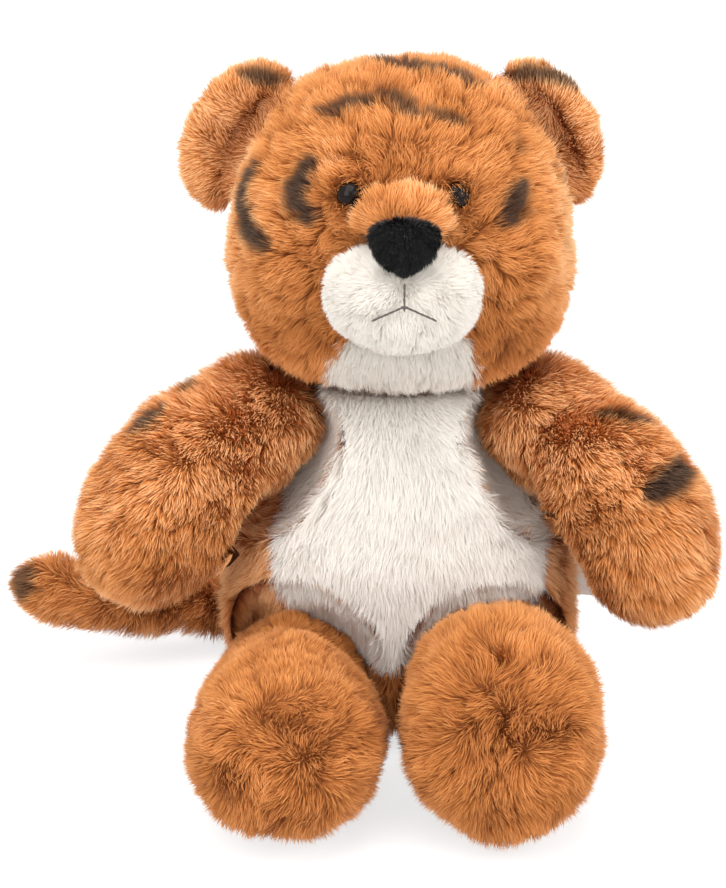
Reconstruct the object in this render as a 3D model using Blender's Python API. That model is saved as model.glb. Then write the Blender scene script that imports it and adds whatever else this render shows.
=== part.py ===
# Plush tiger sitting on its seat: sewn covers, stuffing, a pellet pouch and hard eye fittings.
# Metres, +Z up. The tiger faces -Y and its own left is +X. The origin is on the floor under the seat.

import bpy
import bmesh
from math import asin, copysign, cos, pi, radians, sin
from mathutils import Matrix, Vector
from mathutils.bvhtree import BVHTree

mm = 0.001

# Fits
gap = 0.3 * mm  # between neighbours that lie on each other
seam_gap = 0.9 * mm  # between a ball seam and its socket
filled_rise = 4 * mm  # how far the start of a limb's filled space is domed
path_gap = 1.4 * mm  # between a limb and the torso that it swings past
overrun = 6 * mm  # how far a cutter runs past what it cuts
floor_flat = 0.5 * mm  # how deep a soft form is pressed flat by the floor
weld = 0.02 * mm  # points closer than this are one point

# Cloth
cover_wall = 8 * mm  # backing cloth with its pile
panel_wall = 4 * mm  # panels let into a cover

# Neck
neck_height = 150 * mm
neck_back = -4 * mm
neck_bore = 17 * mm  # radius where the stuffing passes

# Torso, a pear that is widest at the seat
torso_half_width = 77 * mm
torso_half_depth = 57 * mm
torso_over_neck = 15 * mm
torso_top = neck_height + torso_over_neck  # where the pear would close above the neck
torso_back = 1 * mm  # how far its middle lies behind the origin
torso_blunt = (4.0, 2.6)
torso_width_share = ((0.0, 1.08), (0.22, 1.0), (0.38, 0.98), (0.85, 0.70), (1.0, 0.66))
torso_depth_share = ((0.0, 1.04), (0.25, 1.0), (0.42, 1.02), (0.85, 0.76), (1.0, 0.70))

# Head
head_half_width = 66 * mm
head_half_depth = 58 * mm
head_half_height = 67.5 * mm
head_rise = 58 * mm  # from the neck seam to its middle
head_height = neck_height + head_rise
head_back = -12 * mm
head_blunt = (2.4, 2.2)
head_width_share = ((0.0, 1.0), (0.35, 1.04), (0.6, 1.01), (1.0, 0.95))
head_depth_share = ((0.0, 1.0), (0.4, 1.02), (0.7, 0.98), (1.0, 0.95))

# Face. Rises and drops are measured from the head's middle.
muzzle_half_width = 31.5 * mm
muzzle_half_depth = 26 * mm
muzzle_half_height = 23 * mm
muzzle_drop = 9.5 * mm
muzzle_height = head_height - muzzle_drop
muzzle_back = -68 * mm
bridge_half_width = 21 * mm
bridge_half_depth = 21 * mm
bridge_half_height = 19 * mm
bridge_rise = 15 * mm
bridge_height = head_height + bridge_rise
bridge_back = -64 * mm
nose_half_width = 15.5 * mm
nose_half_depth = 9 * mm
nose_half_height = 12.5 * mm
nose_rise = 13.5 * mm
nose_height = head_height + nose_rise
nose_back = -89 * mm
nose_width_share = ((0.0, 0.55), (0.45, 0.92), (0.8, 1.08), (1.0, 1.1))
muzzle_blunt = (2.3, 2.3)
nose_blunt = (2.2, 2.6)
stitch_radius = 0.7 * mm
stitch_drop = 7 * mm  # from the nose's lower edge to the fork
stitch_half_width = 10.5 * mm
stitch_fall = 5 * mm  # how far each branch falls below the fork
stitch_points = 9
stitch_start = 1.2 * mm  # below the nose's lowest point
stitch_curve = 1.3
throat_half_width = 27 * mm
throat_rise = 27 * mm  # how far the white throat reaches above the neck seam
throat_side_share = ((-1.0, 0.0), (-0.94, 0.6), (-0.7, 1.0), (0.7, 1.0), (0.94, 0.6), (1.0, 0.0))

# Eyes: a domed bead on a shank, held by a washer inside the cover
eye_half_apart = 20.5 * mm
eye_rise = 26 * mm
eye_height = head_height + eye_rise
eye_toe_out = radians(14)
eye_tilt_up = radians(16)
eye_radius = 5 * mm
eye_sink = 4 * mm  # from the pile's surface to the bead's widest line
eye_back = 1.2 * mm
shank_radius = 1.6 * mm
shank_length = 8 * mm
washer_radius = 6.5 * mm
washer_wall = 1.6 * mm
washer_seat = 7.85 * mm  # from the pile's surface to the flat the washer lies on

# Ears: a back piece with a dished front panel let into it
ear_half_apart = 52.5 * mm
ear_rise = 28 * mm
ear_height = head_height + ear_rise
ear_back = 4 * mm
ear_lean = radians(25)
ear_turn = radians(8)
ear_half_length = 33 * mm
ear_half_reach = 23 * mm
ear_half_wall = 9 * mm
right_ear_out = 9 * mm  # from the fold line to the middle of the ear
right_ear_up = 0 * mm
left_ear_out = 3 * mm
left_ear_up = 3 * mm
ear_root_radius = 12.5 * mm  # the rounded root that turns in the head's seam
ear_root_half_length = 26 * mm
ear_dish_depth = 8 * mm
ear_dish_out = 3.5 * mm  # from the middle of the ear to the middle of its dish
ear_rim = 5 * mm
ear_front_wall = 2.6 * mm
ear_fold_range = (-20, 25)
ear_aim_share = 0.55

# Arms: a ball seam at the shoulder, swelling to the paw
arm_half_apart = 54 * mm
arm_drop = 25 * mm  # from the neck seam to the shoulder
arm_height = neck_height - arm_drop
arm_back = -13 * mm
arm_ball = 27.5 * mm
arm_half_width = 40 * mm
arm_half_depth = 36.5 * mm
arm_bow = 6 * mm  # how far its middle is bowed up
right_arm_length = 90 * mm
left_arm_length = 94 * mm
arm_tip = 46 * mm  # over which the paw rounds off
arm_tip_blunt = 2.3
arm_swell_share = ((0.0, 0.0), (0.33, 1.0), (1.0, 0.85))
right_arm_spread = radians(47)
left_arm_spread = radians(41)
arm_forward = radians(21)
arm_swing_range = (-10, 70)
arm_filled_from = 33 * mm  # where the filled space starts, from the pivot
arm_mouth = 6 * mm  # radius of the channel through which a limb is filled
arm_rims = (((8 * mm, -4 * mm, -5 * mm), 6 * mm),)  # where a socket opens wider, and by how much

# Legs: a ball seam at the hip, widening to the foot
leg_half_apart = 40 * mm
leg_side = -3 * mm  # how far the middle between the legs lies to the tiger's left
leg_height = 33 * mm
leg_back = -36 * mm
leg_ball = 31.5 * mm
leg_length = 114 * mm
leg_tip = 42 * mm
leg_tip_blunt = 2.7
leg_swell_share = ((0.0, 0.0), (0.62, 1.0), (1.0, 1.0))
foot_half_width = 39.5 * mm
right_foot_half_height = 41 * mm
left_foot_half_height = 45 * mm
foot_widest = 75 * mm  # from the hip to the fullest part of the foot
leg_swing_range = (-6, 40)
leg_filled_from = 32 * mm
leg_mouth = 9 * mm
leg_rims = (((0, -14 * mm, 4 * mm), 3 * mm), ((0, -10 * mm, -10 * mm), 3.5 * mm))
sole_radius = 27 * mm

# Tail: a bent tube that lies on the floor
tail_ball = 15 * mm
tail_radius = 17 * mm
tail_back = 52 * mm
tail_reach = 161 * mm
tail_bow = 60 * mm
tail_tip_rise = 26 * mm
tail_tip = 26 * mm
tail_tip_blunt = 2.2
tail_near_share = (0.16, 0.93)
tail_far_share = (0.85, -0.5)
tail_swell_share = ((0.0, 0.0), (0.2, 1.0), (1.0, 1.0))
tail_wag_range = (-70, 0)
tail_filled_from = 30 * mm
tail_mouth = 2.5 * mm
tail_rims = (((0, 5 * mm, 0), 5.5 * mm),)

# Seat
pouch_half_width = 30 * mm
pouch_half_depth = 13 * mm
pouch_half_height = 12 * mm
pouch_height = 17 * mm
pouch_back = 11 * mm
pouch_blunt = (2.6, 2.6)
pouch_low = 11.5 * mm  # where it lies flat in the seat

# Belly panel, as shares of its half width and its height from the lowest point to the neck
panel_half_width = 50 * mm
panel_low = 47 * mm
panel_side = 2 * mm  # how far its middle lies to the tiger's left
panel_back = -5 * mm
panel_share = (
    (0.0, 0.0),
    (0.42, 0.06),
    (0.75, 0.17),
    (0.96, 0.33),
    (1.0, 0.5),
    (0.92, 0.72),
    (0.74, 0.9),
    (0.56, 1.03),
)

# Seam tab at the torso's left side
tab_width = 13 * mm
tab_length = 14 * mm
tab_wall = 0.8 * mm
tab_height = 48 * mm
tab_back = 4 * mm
tab_out = 70 * mm
# Facets
torso_facets = (24, 14)
head_facets = (24, 14)
arm_facets = (18, 4, 6, 5)
leg_facets = (20, 4, 7, 5)
tail_facets = (16, 4, 11, 4)
limb_hollow_facets = (14, 0, 3, 3)
tail_hollow_facets = (8, 0, 7, 2)
small_facets = (14, 8)
hollow_facets = (14, 8)
muzzle_facets = (18, 10)
ear_facets = (18, 8)
ball_facets = (22, 11)
root_facets = (14, 8)
bead_sides = 12
channel_sides = 10
press_count = 12
press_step = 5  # degrees between the poses that a limb is cleared at
sharp_angle = radians(40)


def make_material(name, colour, roughness, metallic=0.0):
    material = bpy.data.materials.new(name)
    material.use_nodes = True
    surface = material.node_tree.nodes["Principled BSDF"]
    surface.inputs["Base Color"].default_value = (*colour, 1.0)
    surface.inputs["Roughness"].default_value = roughness
    surface.inputs["Metallic"].default_value = metallic
    return material


def object_from(name, mesh_data):
    mesh = bpy.data.meshes.new(name)
    mesh_data.to_mesh(mesh)
    mesh_data.free()
    made = bpy.data.objects.new(name, mesh)
    bpy.context.collection.objects.link(made)
    return made


def blend(table, share):
    # Reads a table of (place, value) shares, easing between its rows.
    before = table[0]
    for after in table[1:]:
        if share <= after[0]:
            part = (share - before[0]) / (after[0] - before[0])
            part = part * part * (3 - 2 * part)
            return before[1] + (after[1] - before[1]) * part
        before = after
    return before[1]


def skin(name, rings, first_pole, last_pole):
    # Closes a row of rings with a pole at each end.
    mesh_data = bmesh.new()
    loops = [[mesh_data.verts.new(point) for point in ring] for ring in rings]
    sides = len(loops[0])
    for lower, upper in zip(loops, loops[1:]):
        for side in range(sides):
            after = (side + 1) % sides
            mesh_data.faces.new((lower[side], lower[after], upper[after]))
            mesh_data.faces.new((lower[side], upper[after], upper[side]))
    low_pole = mesh_data.verts.new(first_pole)
    high_pole = mesh_data.verts.new(last_pole)
    for side in range(sides):
        after = (side + 1) % sides
        mesh_data.faces.new((low_pole, loops[0][after], loops[0][side]))
        mesh_data.faces.new((high_pole, loops[-1][side], loops[-1][after]))
    bmesh.ops.recalc_face_normals(mesh_data, faces=mesh_data.faces)
    return object_from(name, mesh_data)


def ring_round(centre, across, through, sides):
    # An ellipse about a centre, from its two half axes.
    angles = [2 * pi * side / sides for side in range(sides)]
    return [centre + across * cos(angle) + through * sin(angle) for angle in angles]


def pressed(point, aim, keeps_out):
    # Moves a point that is in a neighbour's way to the last clear place on the line from its aim.
    if not keeps_out(point):
        return point
    blocked = 1
    while blocked < press_count and not keeps_out(aim.lerp(point, blocked / press_count)):
        blocked += 1
    inner, outer = (blocked - 1) / press_count, blocked / press_count
    for halving in range(press_count):
        middle = (inner + outer) / 2
        if keeps_out(aim.lerp(point, middle)):
            outer = middle
        else:
            inner = middle
    return aim.lerp(point, inner)


class Egg:
    # A form along its own Z axis, with its ends blunted and its sides swelling by two tables.
    def __init__(self, frame, half, blunt=(2.0, 2.0), wide=((0, 1), (1, 1)), deep=((0, 1), (1, 1))):
        self.frame = frame
        self.inverse = frame.inverted()
        self.half = half
        self.blunt = blunt
        self.wide = wide
        self.deep = deep

    def section(self, height, grow):
        # Half width and half depth at a height from -1 to 1.
        bluntness = self.blunt[0] if height < 0 else self.blunt[1]
        reach = (1 - min(1, abs(height)) ** bluntness) ** (1 / bluntness)
        share = (height + 1) / 2
        across = (self.half[0] + grow) * reach * blend(self.wide, share)
        return across, (self.half[1] + grow) * reach * blend(self.deep, share)

    def holds(self, point, grow=0.0):
        place = self.inverse @ point
        height = place.z / (self.half[2] + grow)
        if abs(height) >= 1:
            return False
        across, through = self.section(height, grow)
        return (place.x / across) ** 2 + (place.y / through) ** 2 < 1

    def skin(self, name, facets, grow=0.0, keeps_out=None, aim_share=0.0):
        sides, count = facets
        axes = self.frame.to_3x3()
        tall = self.half[2] + grow
        rings = []
        for step in range(1, count):
            turn = pi * step / count
            bluntness = self.blunt[0] if cos(turn) > 0 else self.blunt[1]
            height = -copysign(abs(cos(turn)) ** (2 / bluntness), cos(turn))
            across, through = self.section(height, grow)
            centre = self.frame @ Vector((0, 0, height * tall))
            ring = ring_round(centre, axes.col[0] * across, axes.col[1] * through, sides)
            if keeps_out:
                aim = centre + axes.col[0] * across * aim_share
                ring = [pressed(point, aim, keeps_out) for point in ring]
            rings.append(ring)
        poles = [self.frame @ Vector((0, 0, end * tall)) for end in (-1, 1)]
        return skin(name, rings, *poles)


class Limb:
    # A round root about a pivot that runs on along a curve, swells by a table and ends in a rounded tip.
    def __init__(self, route, length, ball, half, tip, tip_blunt, swell):
        self.route = route
        self.length = length
        self.ball = ball
        self.half = half
        self.tip = tip
        self.tip_blunt = tip_blunt
        self.swell = swell

    def axes(self, share):
        step = self.tip / self.length / 20
        ahead = (self.route(share + step) - self.route(share)).normalized()
        level = ahead.cross(Vector((0, 0, 1))).normalized()
        return ahead, level, level.cross(ahead)

    def ring(self, along, grow, facets):
        # The ring at a distance from the pivot, tapered over the tip.
        share = along / self.length
        start = self.length - self.tip
        beyond = max(0, along - start) / (self.tip + grow)
        taper = (1 - min(1, beyond) ** self.tip_blunt) ** (1 / self.tip_blunt)
        filled = blend(self.swell, share)
        wide, tall = [(self.ball + (half - self.ball) * filled + grow) * taper for half in self.half]
        ahead, level, upright = self.axes(share)
        return ring_round(self.route(share), level * wide, upright * tall, facets[0])

    def skin(self, name, facets, grow=0.0, keeps_out=None, from_pivot=0.0):
        sides, root_count, middle_count, tip_count = facets
        pivot = self.route(0)
        ahead, level, upright = self.axes(0)
        ball = self.ball + grow
        rings = []
        first_pole = pivot - ahead * ball
        if from_pivot:
            first_pole = self.route((from_pivot - filled_rise) / self.length)
        for step in range(1, root_count + 1):
            turn = pi / 2 * step / root_count
            radius = ball * sin(turn)
            centre = pivot - ahead * ball * cos(turn)
            rings.append(ring_round(centre, level * radius, upright * radius, sides))
        start = self.length - self.tip
        shares = [step / middle_count for step in range(0 if from_pivot else 1, middle_count + 1)]
        places = [from_pivot + (start - from_pivot) * share for share in shares]
        turns = [pi / 2 * step / tip_count for step in range(1, tip_count)]
        places += [start + (self.tip + grow) * sin(turn) ** (2 / self.tip_blunt) for turn in turns]
        for along in places:
            rings.append(self.ring(along, grow, facets))
        if keeps_out:
            middles = [sum(ring, Vector()) / sides for ring in rings]
            rings = [[pressed(p, m, keeps_out) for p in ring] for ring, m in zip(rings, middles)]
        tip = self.route(1) + self.axes(1)[0] * grow
        return skin(name, rings, first_pole, tip)


def round_egg(centre, radius):
    return Egg(Matrix.Translation(centre), (radius, radius, radius))


def ball(name, centre, radius, facets=ball_facets):
    return round_egg(centre, radius).skin(name, facets)


def socket_radius(radius, facets=ball_facets):
    # A faceted ball of this radius stays outside a round one of the given radius.
    return radius / (cos(pi / facets[0]) * cos(pi / 2 / facets[1]))


def prism(name, outline, front, back):
    # An outline in X and Z, extruded along Y.
    mesh_data = bmesh.new()
    corners = [mesh_data.verts.new((x, front, z)) for x, z in outline]
    face = mesh_data.faces.new(corners)
    result = bmesh.ops.extrude_face_region(mesh_data, geom=[face])
    moved = [item for item in result["geom"] if isinstance(item, bmesh.types.BMVert)]
    bmesh.ops.translate(mesh_data, verts=moved, vec=(0, back - front, 0))
    bmesh.ops.recalc_face_normals(mesh_data, faces=mesh_data.faces)
    return object_from(name, mesh_data)


def turned(name, frame, profile, sides=bead_sides):
    # Spins a profile of (radius, height) points round the frame's Z axis.
    mesh_data = bmesh.new()
    corners = [mesh_data.verts.new((radius, 0, height)) for radius, height in profile]
    edges = [mesh_data.edges.new(pair) for pair in zip(corners, corners[1:])]
    origin, upward = (0, 0, 0), (0, 0, 1)
    bmesh.ops.spin(
        mesh_data,
        geom=corners + edges,
        cent=origin,
        axis=upward,
        angle=2 * pi,
        steps=sides,
        use_merge=True,
    )
    bmesh.ops.remove_doubles(mesh_data, verts=mesh_data.verts, dist=weld)
    bmesh.ops.transform(mesh_data, matrix=frame, verts=mesh_data.verts)
    bmesh.ops.recalc_face_normals(mesh_data, faces=mesh_data.faces)
    return object_from(name, mesh_data)


def rod(name, frame, radius, low, high, sides=bead_sides):
    return turned(name, frame, ((0, low), (radius, low), (radius, high), (0, high)), sides)


def slab(name, low, high):
    # A block between two corners.
    mesh_data = bmesh.new()
    bmesh.ops.create_cube(mesh_data, size=1)
    for vertex in mesh_data.verts:
        share = vertex.co + Vector((0.5, 0.5, 0.5))
        vertex.co = Vector([low[i] + (high[i] - low[i]) * share[i] for i in range(3)])
    return object_from(name, mesh_data)


def bake(target):
    # Replaces an object's mesh by what its modifiers make of it.
    graph = bpy.context.evaluated_depsgraph_get()
    mesh = bpy.data.meshes.new_from_object(target.evaluated_get(graph))
    target.modifiers.clear()
    target.data = mesh


def combine(target, tools, operation="DIFFERENCE", keep=False):
    for tool in tools:
        modifier = target.modifiers.new(operation.lower(), "BOOLEAN")
        modifier.operation = operation
        modifier.solver = "EXACT"
        modifier.object = tool
        bake(target)
    if not keep:
        remove(*tools)
    return target


def remove(*objects):
    for item in objects:
        bpy.data.objects.remove(item, do_unlink=True)


def copy_of(source, name, matrix=Matrix.Identity(4)):
    made = bpy.data.objects.new(name, source.data.copy())
    made.data.transform(matrix)
    bpy.context.collection.objects.link(made)
    return made


def turn_about(pivot, axis, degrees):
    return Matrix.Translation(pivot) @ Matrix.Rotation(radians(degrees), 4, axis) @ Matrix.Translation(-pivot)


def thread(name, points, radius):
    # A round thread through points.
    curve = bpy.data.curves.new(name, "CURVE")
    curve.dimensions = "3D"
    curve.bevel_depth = radius
    curve.bevel_resolution = 1
    curve.use_fill_caps = True
    line = curve.splines.new("POLY")
    line.points.add(len(points) - 1)
    for corner, point in zip(line.points, points):
        corner.co = (*point, 1)
    made = bpy.data.objects.new(name, curve)
    bpy.context.collection.objects.link(made)
    graph = bpy.context.evaluated_depsgraph_get()
    mesh = bpy.data.meshes.new_from_object(made.evaluated_get(graph))
    remove(made)
    mesh_data = bmesh.new()
    mesh_data.from_mesh(mesh)
    bmesh.ops.remove_doubles(mesh_data, verts=mesh_data.verts, dist=weld)
    bmesh.ops.recalc_face_normals(mesh_data, faces=mesh_data.faces)
    return object_from(name, mesh_data)


def tidy(target):
    # Closes up the slivers that cuts leave.
    mesh_data = bmesh.new()
    mesh_data.from_mesh(target.data)
    bmesh.ops.triangulate(mesh_data, faces=mesh_data.faces)
    bmesh.ops.remove_doubles(mesh_data, verts=mesh_data.verts, dist=weld)
    bmesh.ops.dissolve_degenerate(mesh_data, dist=weld, edges=mesh_data.edges)
    bmesh.ops.triangulate(mesh_data, faces=mesh_data.faces)
    mesh_data.to_mesh(target.data)
    mesh_data.free()


def swing_steps(swing, step):
    low, high = swing
    count = max(1, round((high - low) / step))
    return [low + (high - low) * place / count for place in range(count + 1)]


def kept_out(egg, pivot, axis, swing, margin, own_seat=None):
    # Tells whether a point of a moving form, outside its own seat, would come within a margin of an egg.
    turns = [turn_about(pivot, axis, angle) for angle in swing_steps(swing, press_step)]

    def keeps_out(point):
        if own_seat and own_seat.holds(point):
            return False
        return any(egg.holds(turn @ point, margin) for turn in turns)

    return keeps_out


def on_floor(target, reach=torso_top * 2):
    # Presses a soft form flat where it meets the floor.
    return combine(target, [slab("floor", (-reach, -reach, -overrun), (reach, reach, 0))])


# Axes, pivots and main forms
arm_axis = Vector((-1, 0, 0))
leg_axis = Vector((1, 0, 0))
tail_axis = Vector((0, 0, 1))
neck_pivot = Vector((0, neck_back, neck_height))
tail_pivot = Vector((0, tail_back, tail_radius - floor_flat))
torso_half_height = (torso_top + floor_flat) / 2

torso_egg = Egg(
    Matrix.Translation((0, torso_back, torso_half_height - floor_flat)),
    (torso_half_width, torso_half_depth, torso_half_height),
    torso_blunt,
    torso_width_share,
    torso_depth_share,
)
head_egg = Egg(
    Matrix.Translation((0, head_back, head_height)),
    (head_half_width, head_half_depth, head_half_height),
    head_blunt,
    head_width_share,
    head_depth_share,
)
muzzle_egg = Egg(
    Matrix.Translation((0, muzzle_back, muzzle_height)),
    (muzzle_half_width, muzzle_half_depth, muzzle_half_height),
    muzzle_blunt,
)
bridge_egg = Egg(
    Matrix.Translation((0, bridge_back, bridge_height)),
    (bridge_half_width, bridge_half_depth, bridge_half_height),
)
nose_egg = Egg(
    Matrix.Translation((0, nose_back, nose_height)),
    (nose_half_width, nose_half_depth, nose_half_height),
    nose_blunt,
    nose_width_share,
)
pouch_egg = Egg(
    Matrix.Translation((0, pouch_back, pouch_height)),
    (pouch_half_width, pouch_half_depth, pouch_half_height),
    pouch_blunt,
)


def shoulder(side):
    return Vector((side * arm_half_apart, arm_back, arm_height))


def hip(side):
    return Vector((leg_side + side * leg_half_apart, leg_back, leg_height))


def arm_limb(side):
    # Runs down, outward and forward from the shoulder.
    length = left_arm_length if side > 0 else right_arm_length
    spread = left_arm_spread if side > 0 else right_arm_spread
    level = cos(arm_forward)
    ahead = Vector((side * sin(spread) * level, -sin(arm_forward), -cos(spread) * level))
    half = (arm_half_depth, arm_half_width)

    def route(share):
        return shoulder(side) + ahead * length * share + Vector((0, 0, arm_bow * sin(pi * share)))

    return Limb(route, length, arm_ball, half, arm_tip, arm_tip_blunt, arm_swell_share)


def leg_limb(side):
    # Runs forward from the hip, tilted so that the foot lies on the floor.
    foot = left_foot_half_height if side > 0 else right_foot_half_height
    tilt = asin((foot - floor_flat - leg_height) / foot_widest)
    ahead = Vector((0, -cos(tilt), sin(tilt)))

    def route(share):
        return hip(side) + ahead * leg_length * share

    half = (foot_half_width, foot)
    return Limb(route, leg_length, leg_ball, half, leg_tip, leg_tip_blunt, leg_swell_share)


def tail_route(share):
    # A cubic curve from the seat's back to the tip at the tiger's right.
    reach = Vector((-tail_reach, 0, 0))
    near = tail_pivot + reach * tail_near_share[0] + Vector((0, tail_bow * tail_near_share[1], 0))
    far = tail_pivot + reach * tail_far_share[0] + Vector((0, tail_bow * tail_far_share[1], 0))
    end = tail_pivot + reach + Vector((0, 0, tail_tip_rise))
    rest = 1 - share
    steady = tail_pivot * rest**3 + near * (3 * rest**2 * share)
    return steady + far * (3 * rest * share**2) + end * share**3


def tail_limb():
    count = 40
    points = [tail_route(step / count) for step in range(count + 1)]
    length = sum((b - a).length for a, b in zip(points, points[1:]))
    half = (tail_radius, tail_radius)
    return Limb(tail_route, length, tail_ball, half, tail_tip, tail_tip_blunt, tail_swell_share)


def ear_frame(side):
    # Z runs up the fold line, X out from the head and Y to the back.
    place = Matrix.Translation((side * ear_half_apart, ear_back, ear_height))
    turn = Matrix.Rotation(-side * ear_lean, 4, "Y") @ Matrix.Rotation(-side * ear_turn, 4, "Z")
    return place @ turn @ Matrix.Scale(side, 4, (1, 0, 0))


def ear_axis(side):
    # Positive turns fold the ear forward.
    return ear_frame(side).to_3x3() @ Vector((0, 0, -side))


def sockets(grow, facets=ball_facets, wide_rims=True):
    # The round seats in the torso for the limbs' ball seams, each opening wider at its rim.
    places = [(tail_pivot, tail_ball, tail_rims, 1)]
    for side in (-1, 1):
        places.append((shoulder(side), arm_ball, arm_rims, side))
        places.append((hip(side), leg_ball, leg_rims, side))
    made = []
    for centre, radius, rims, side in places:
        made.append(ball("socket", centre, socket_radius(radius + grow, facets), facets))
        for (out, back, up), wider in rims if wide_rims else ():
            made.append(ball("rim", centre + Vector((side * out, back, up)), radius + wider, facets))
    return made


def above_neck(low):
    reach = torso_half_width + overrun
    return slab("above neck", (-reach, -reach, low), (reach, reach, torso_top + overrun))


def below_neck(high):
    reach = head_half_width + overrun
    low = head_height - head_half_height - overrun
    return slab("below neck", (-reach, -reach, low), (reach, reach, high))


def belly_outline(grow):
    # The panel's outline in X and Z, mirrored about its middle and grown outward.
    tall = neck_height - panel_low
    right = [(panel_half_width * x, panel_low + tall * z) for x, z in panel_share]
    left = [(-x, z) for x, z in reversed(right[1:])]
    middle = panel_low + tall / 2
    grown = []
    for x, z in right + left:
        out = Vector((x, z - middle)).normalized() * grow
        grown.append((panel_side + x + out.x, z + out.y))
    return grown


def throat_outline(grow):
    base = neck_height - overrun
    wide, tall = throat_half_width + grow, throat_rise + overrun + grow
    return [(wide * x, base + tall * z) for x, z in throat_side_share]


def make_torso():
    upright = Matrix.Translation((0, neck_back, 0))
    plug_low = neck_height - 2 * cover_wall
    cover = torso_egg.skin("torso_cover", torso_facets)
    combine(cover, sockets(seam_gap))
    combine(cover, [above_neck(neck_height)])
    hollow = torso_egg.skin("hollow", hollow_facets, -cover_wall)
    combine(hollow, sockets(seam_gap + cover_wall, hollow_facets, False))
    combine(hollow, [rod("bore", upright, neck_bore, plug_low, torso_top)], "UNION")
    combine(cover, [hollow])
    recess = prism("recess", belly_outline(gap), -torso_half_depth - overrun, panel_back)
    combine(recess, [torso_egg.skin("under panel", torso_facets, -panel_wall - gap)])
    combine(cover, [recess])
    on_floor(cover)

    panel = torso_egg.skin("belly_panel", torso_facets)
    front = prism("outline", belly_outline(0), -torso_half_depth - overrun, panel_back - gap)
    combine(panel, [front], "INTERSECT")
    combine(panel, [torso_egg.skin("behind panel", torso_facets, -panel_wall), above_neck(neck_height)])
    combine(panel, sockets(seam_gap))

    pouch = pouch_egg.skin("pellet_pouch", small_facets)
    reach = torso_half_width
    combine(pouch, [slab("under pouch", (-reach, -reach, -overrun), (reach, reach, pouch_low))])
    stuffing = torso_egg.skin("torso_stuffing", hollow_facets, -cover_wall - gap)
    combine(stuffing, sockets(seam_gap + cover_wall + gap, hollow_facets, False))
    combine(stuffing, [rod("plug", upright, neck_bore - gap, plug_low + gap, torso_top)], "UNION")
    combine(stuffing, [above_neck(neck_height - gap), pouch_egg.skin("pocket", small_facets, gap)])

    tab_low = (tab_out, tab_back, tab_height)
    tab_high = (tab_out + tab_width, tab_back + tab_wall, tab_height + tab_length)
    tab = slab("side_seam_tab", tab_low, tab_high)
    combine(tab, [torso_egg.skin("tab seat", torso_facets, gap)])
    return [cover, panel, stuffing, pouch, tab]


def make_limb(name, limb, axis, swing, counts, mouth_radius, filled_from):
    # A cover with its stuffing. Both clear the torso all through the swing.
    pivot = limb.route(0)
    facets, inner_facets = counts
    seat = round_egg(pivot, limb.ball)
    cover = limb.skin(name + "_cover", facets, 0, kept_out(torso_egg, pivot, axis, swing, path_gap, seat))
    filled = limb.route(filled_from / limb.length) - pivot
    along = Matrix.Translation(pivot) @ filled.to_track_quat("Z", "Y").to_matrix().to_4x4()
    inner = []
    for slack, low in ((0, -limb.ball - overrun), (gap, -limb.ball + gap)):
        grow = -cover_wall - slack
        keeps_out = kept_out(torso_egg, pivot, axis, swing, path_gap - grow)
        inner.append(limb.skin(name + "_stuffing", inner_facets, grow, keeps_out, filled_from + slack))
        high = filled.length + overrun - slack
        channel = rod("channel", along, mouth_radius - slack, low, high, channel_sides)
        combine(inner[-1], [channel], "UNION")
    hollow, stuffing = inner
    combine(cover, [hollow])
    stuffing.name = name + "_stuffing"
    return [cover, stuffing]


def make_arm(side):
    name = "left_arm" if side > 0 else "right_arm"
    counts = (arm_facets, limb_hollow_facets)
    return make_limb(name, arm_limb(side), arm_axis, arm_swing_range, counts, arm_mouth, arm_filled_from)


def make_leg(side):
    name = "left_leg" if side > 0 else "right_leg"
    limb = leg_limb(side)
    counts = (leg_facets, limb_hollow_facets)
    cover, stuffing = make_limb(name, limb, leg_axis, leg_swing_range, counts, leg_mouth, leg_filled_from)
    forward = limb.axes(0)[0].to_track_quat("Z", "Y").to_matrix().to_4x4()
    along = Matrix.Translation(hip(side)) @ forward
    recess = rod("recess", along, sole_radius + gap, foot_widest, leg_length + overrun)
    combine(recess, [limb.skin("under sole", leg_facets, -panel_wall - gap)])
    combine(cover, [recess])
    on_floor(cover)
    sole = rod(name.replace("leg", "sole"), along, sole_radius, foot_widest, leg_length + overrun)
    combine(sole, [limb.skin("outside", leg_facets)], "INTERSECT")
    combine(sole, [limb.skin("behind sole", leg_facets, -panel_wall)])
    return [cover, stuffing, sole]


def make_tail():
    limb = tail_limb()
    counts = (tail_facets, tail_hollow_facets)
    made = make_limb("tail", limb, tail_axis, tail_wag_range, counts, tail_mouth, tail_filled_from)
    on_floor(made[0])
    return made


def surface_point(target, x, z):
    # Where a line from straight ahead first meets an object's front.
    tree = BVHTree.FromObject(target, bpy.context.evaluated_depsgraph_get())
    hit, normal, face, distance = tree.ray_cast(Vector((x, -torso_top, z)), Vector((0, 1, 0)))
    return hit


def eye_frame(side, head):
    # Z runs out of the face, from the pile's surface.
    toe, tilt = side * eye_toe_out, eye_tilt_up
    outward = Vector((sin(toe) * cos(tilt), -cos(toe) * cos(tilt), sin(tilt)))
    place = Matrix.Translation(surface_point(head, side * eye_half_apart, eye_height))
    return place @ outward.to_track_quat("Z", "Y").to_matrix().to_4x4()


def make_eye(side, frame):
    name = "left_eye" if side > 0 else "right_eye"
    turns = [pi / 2 * step / 5 for step in range(6)]
    profile = [(eye_radius * sin(turn), eye_radius * cos(turn) - eye_sink) for turn in turns]
    back = -eye_sink - eye_back
    end = back - shank_length
    profile += [(eye_radius, back), (shank_radius, back), (shank_radius, end), (0, end)]
    eye = turned(name, frame, profile)
    top = -washer_seat - gap
    low = top - washer_wall
    inner = shank_radius + gap
    ring = ((inner, top), (washer_radius, top), (washer_radius, low), (inner, low), (inner, top))
    return [eye, turned(name + "_washer", frame, ring)]


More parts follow.
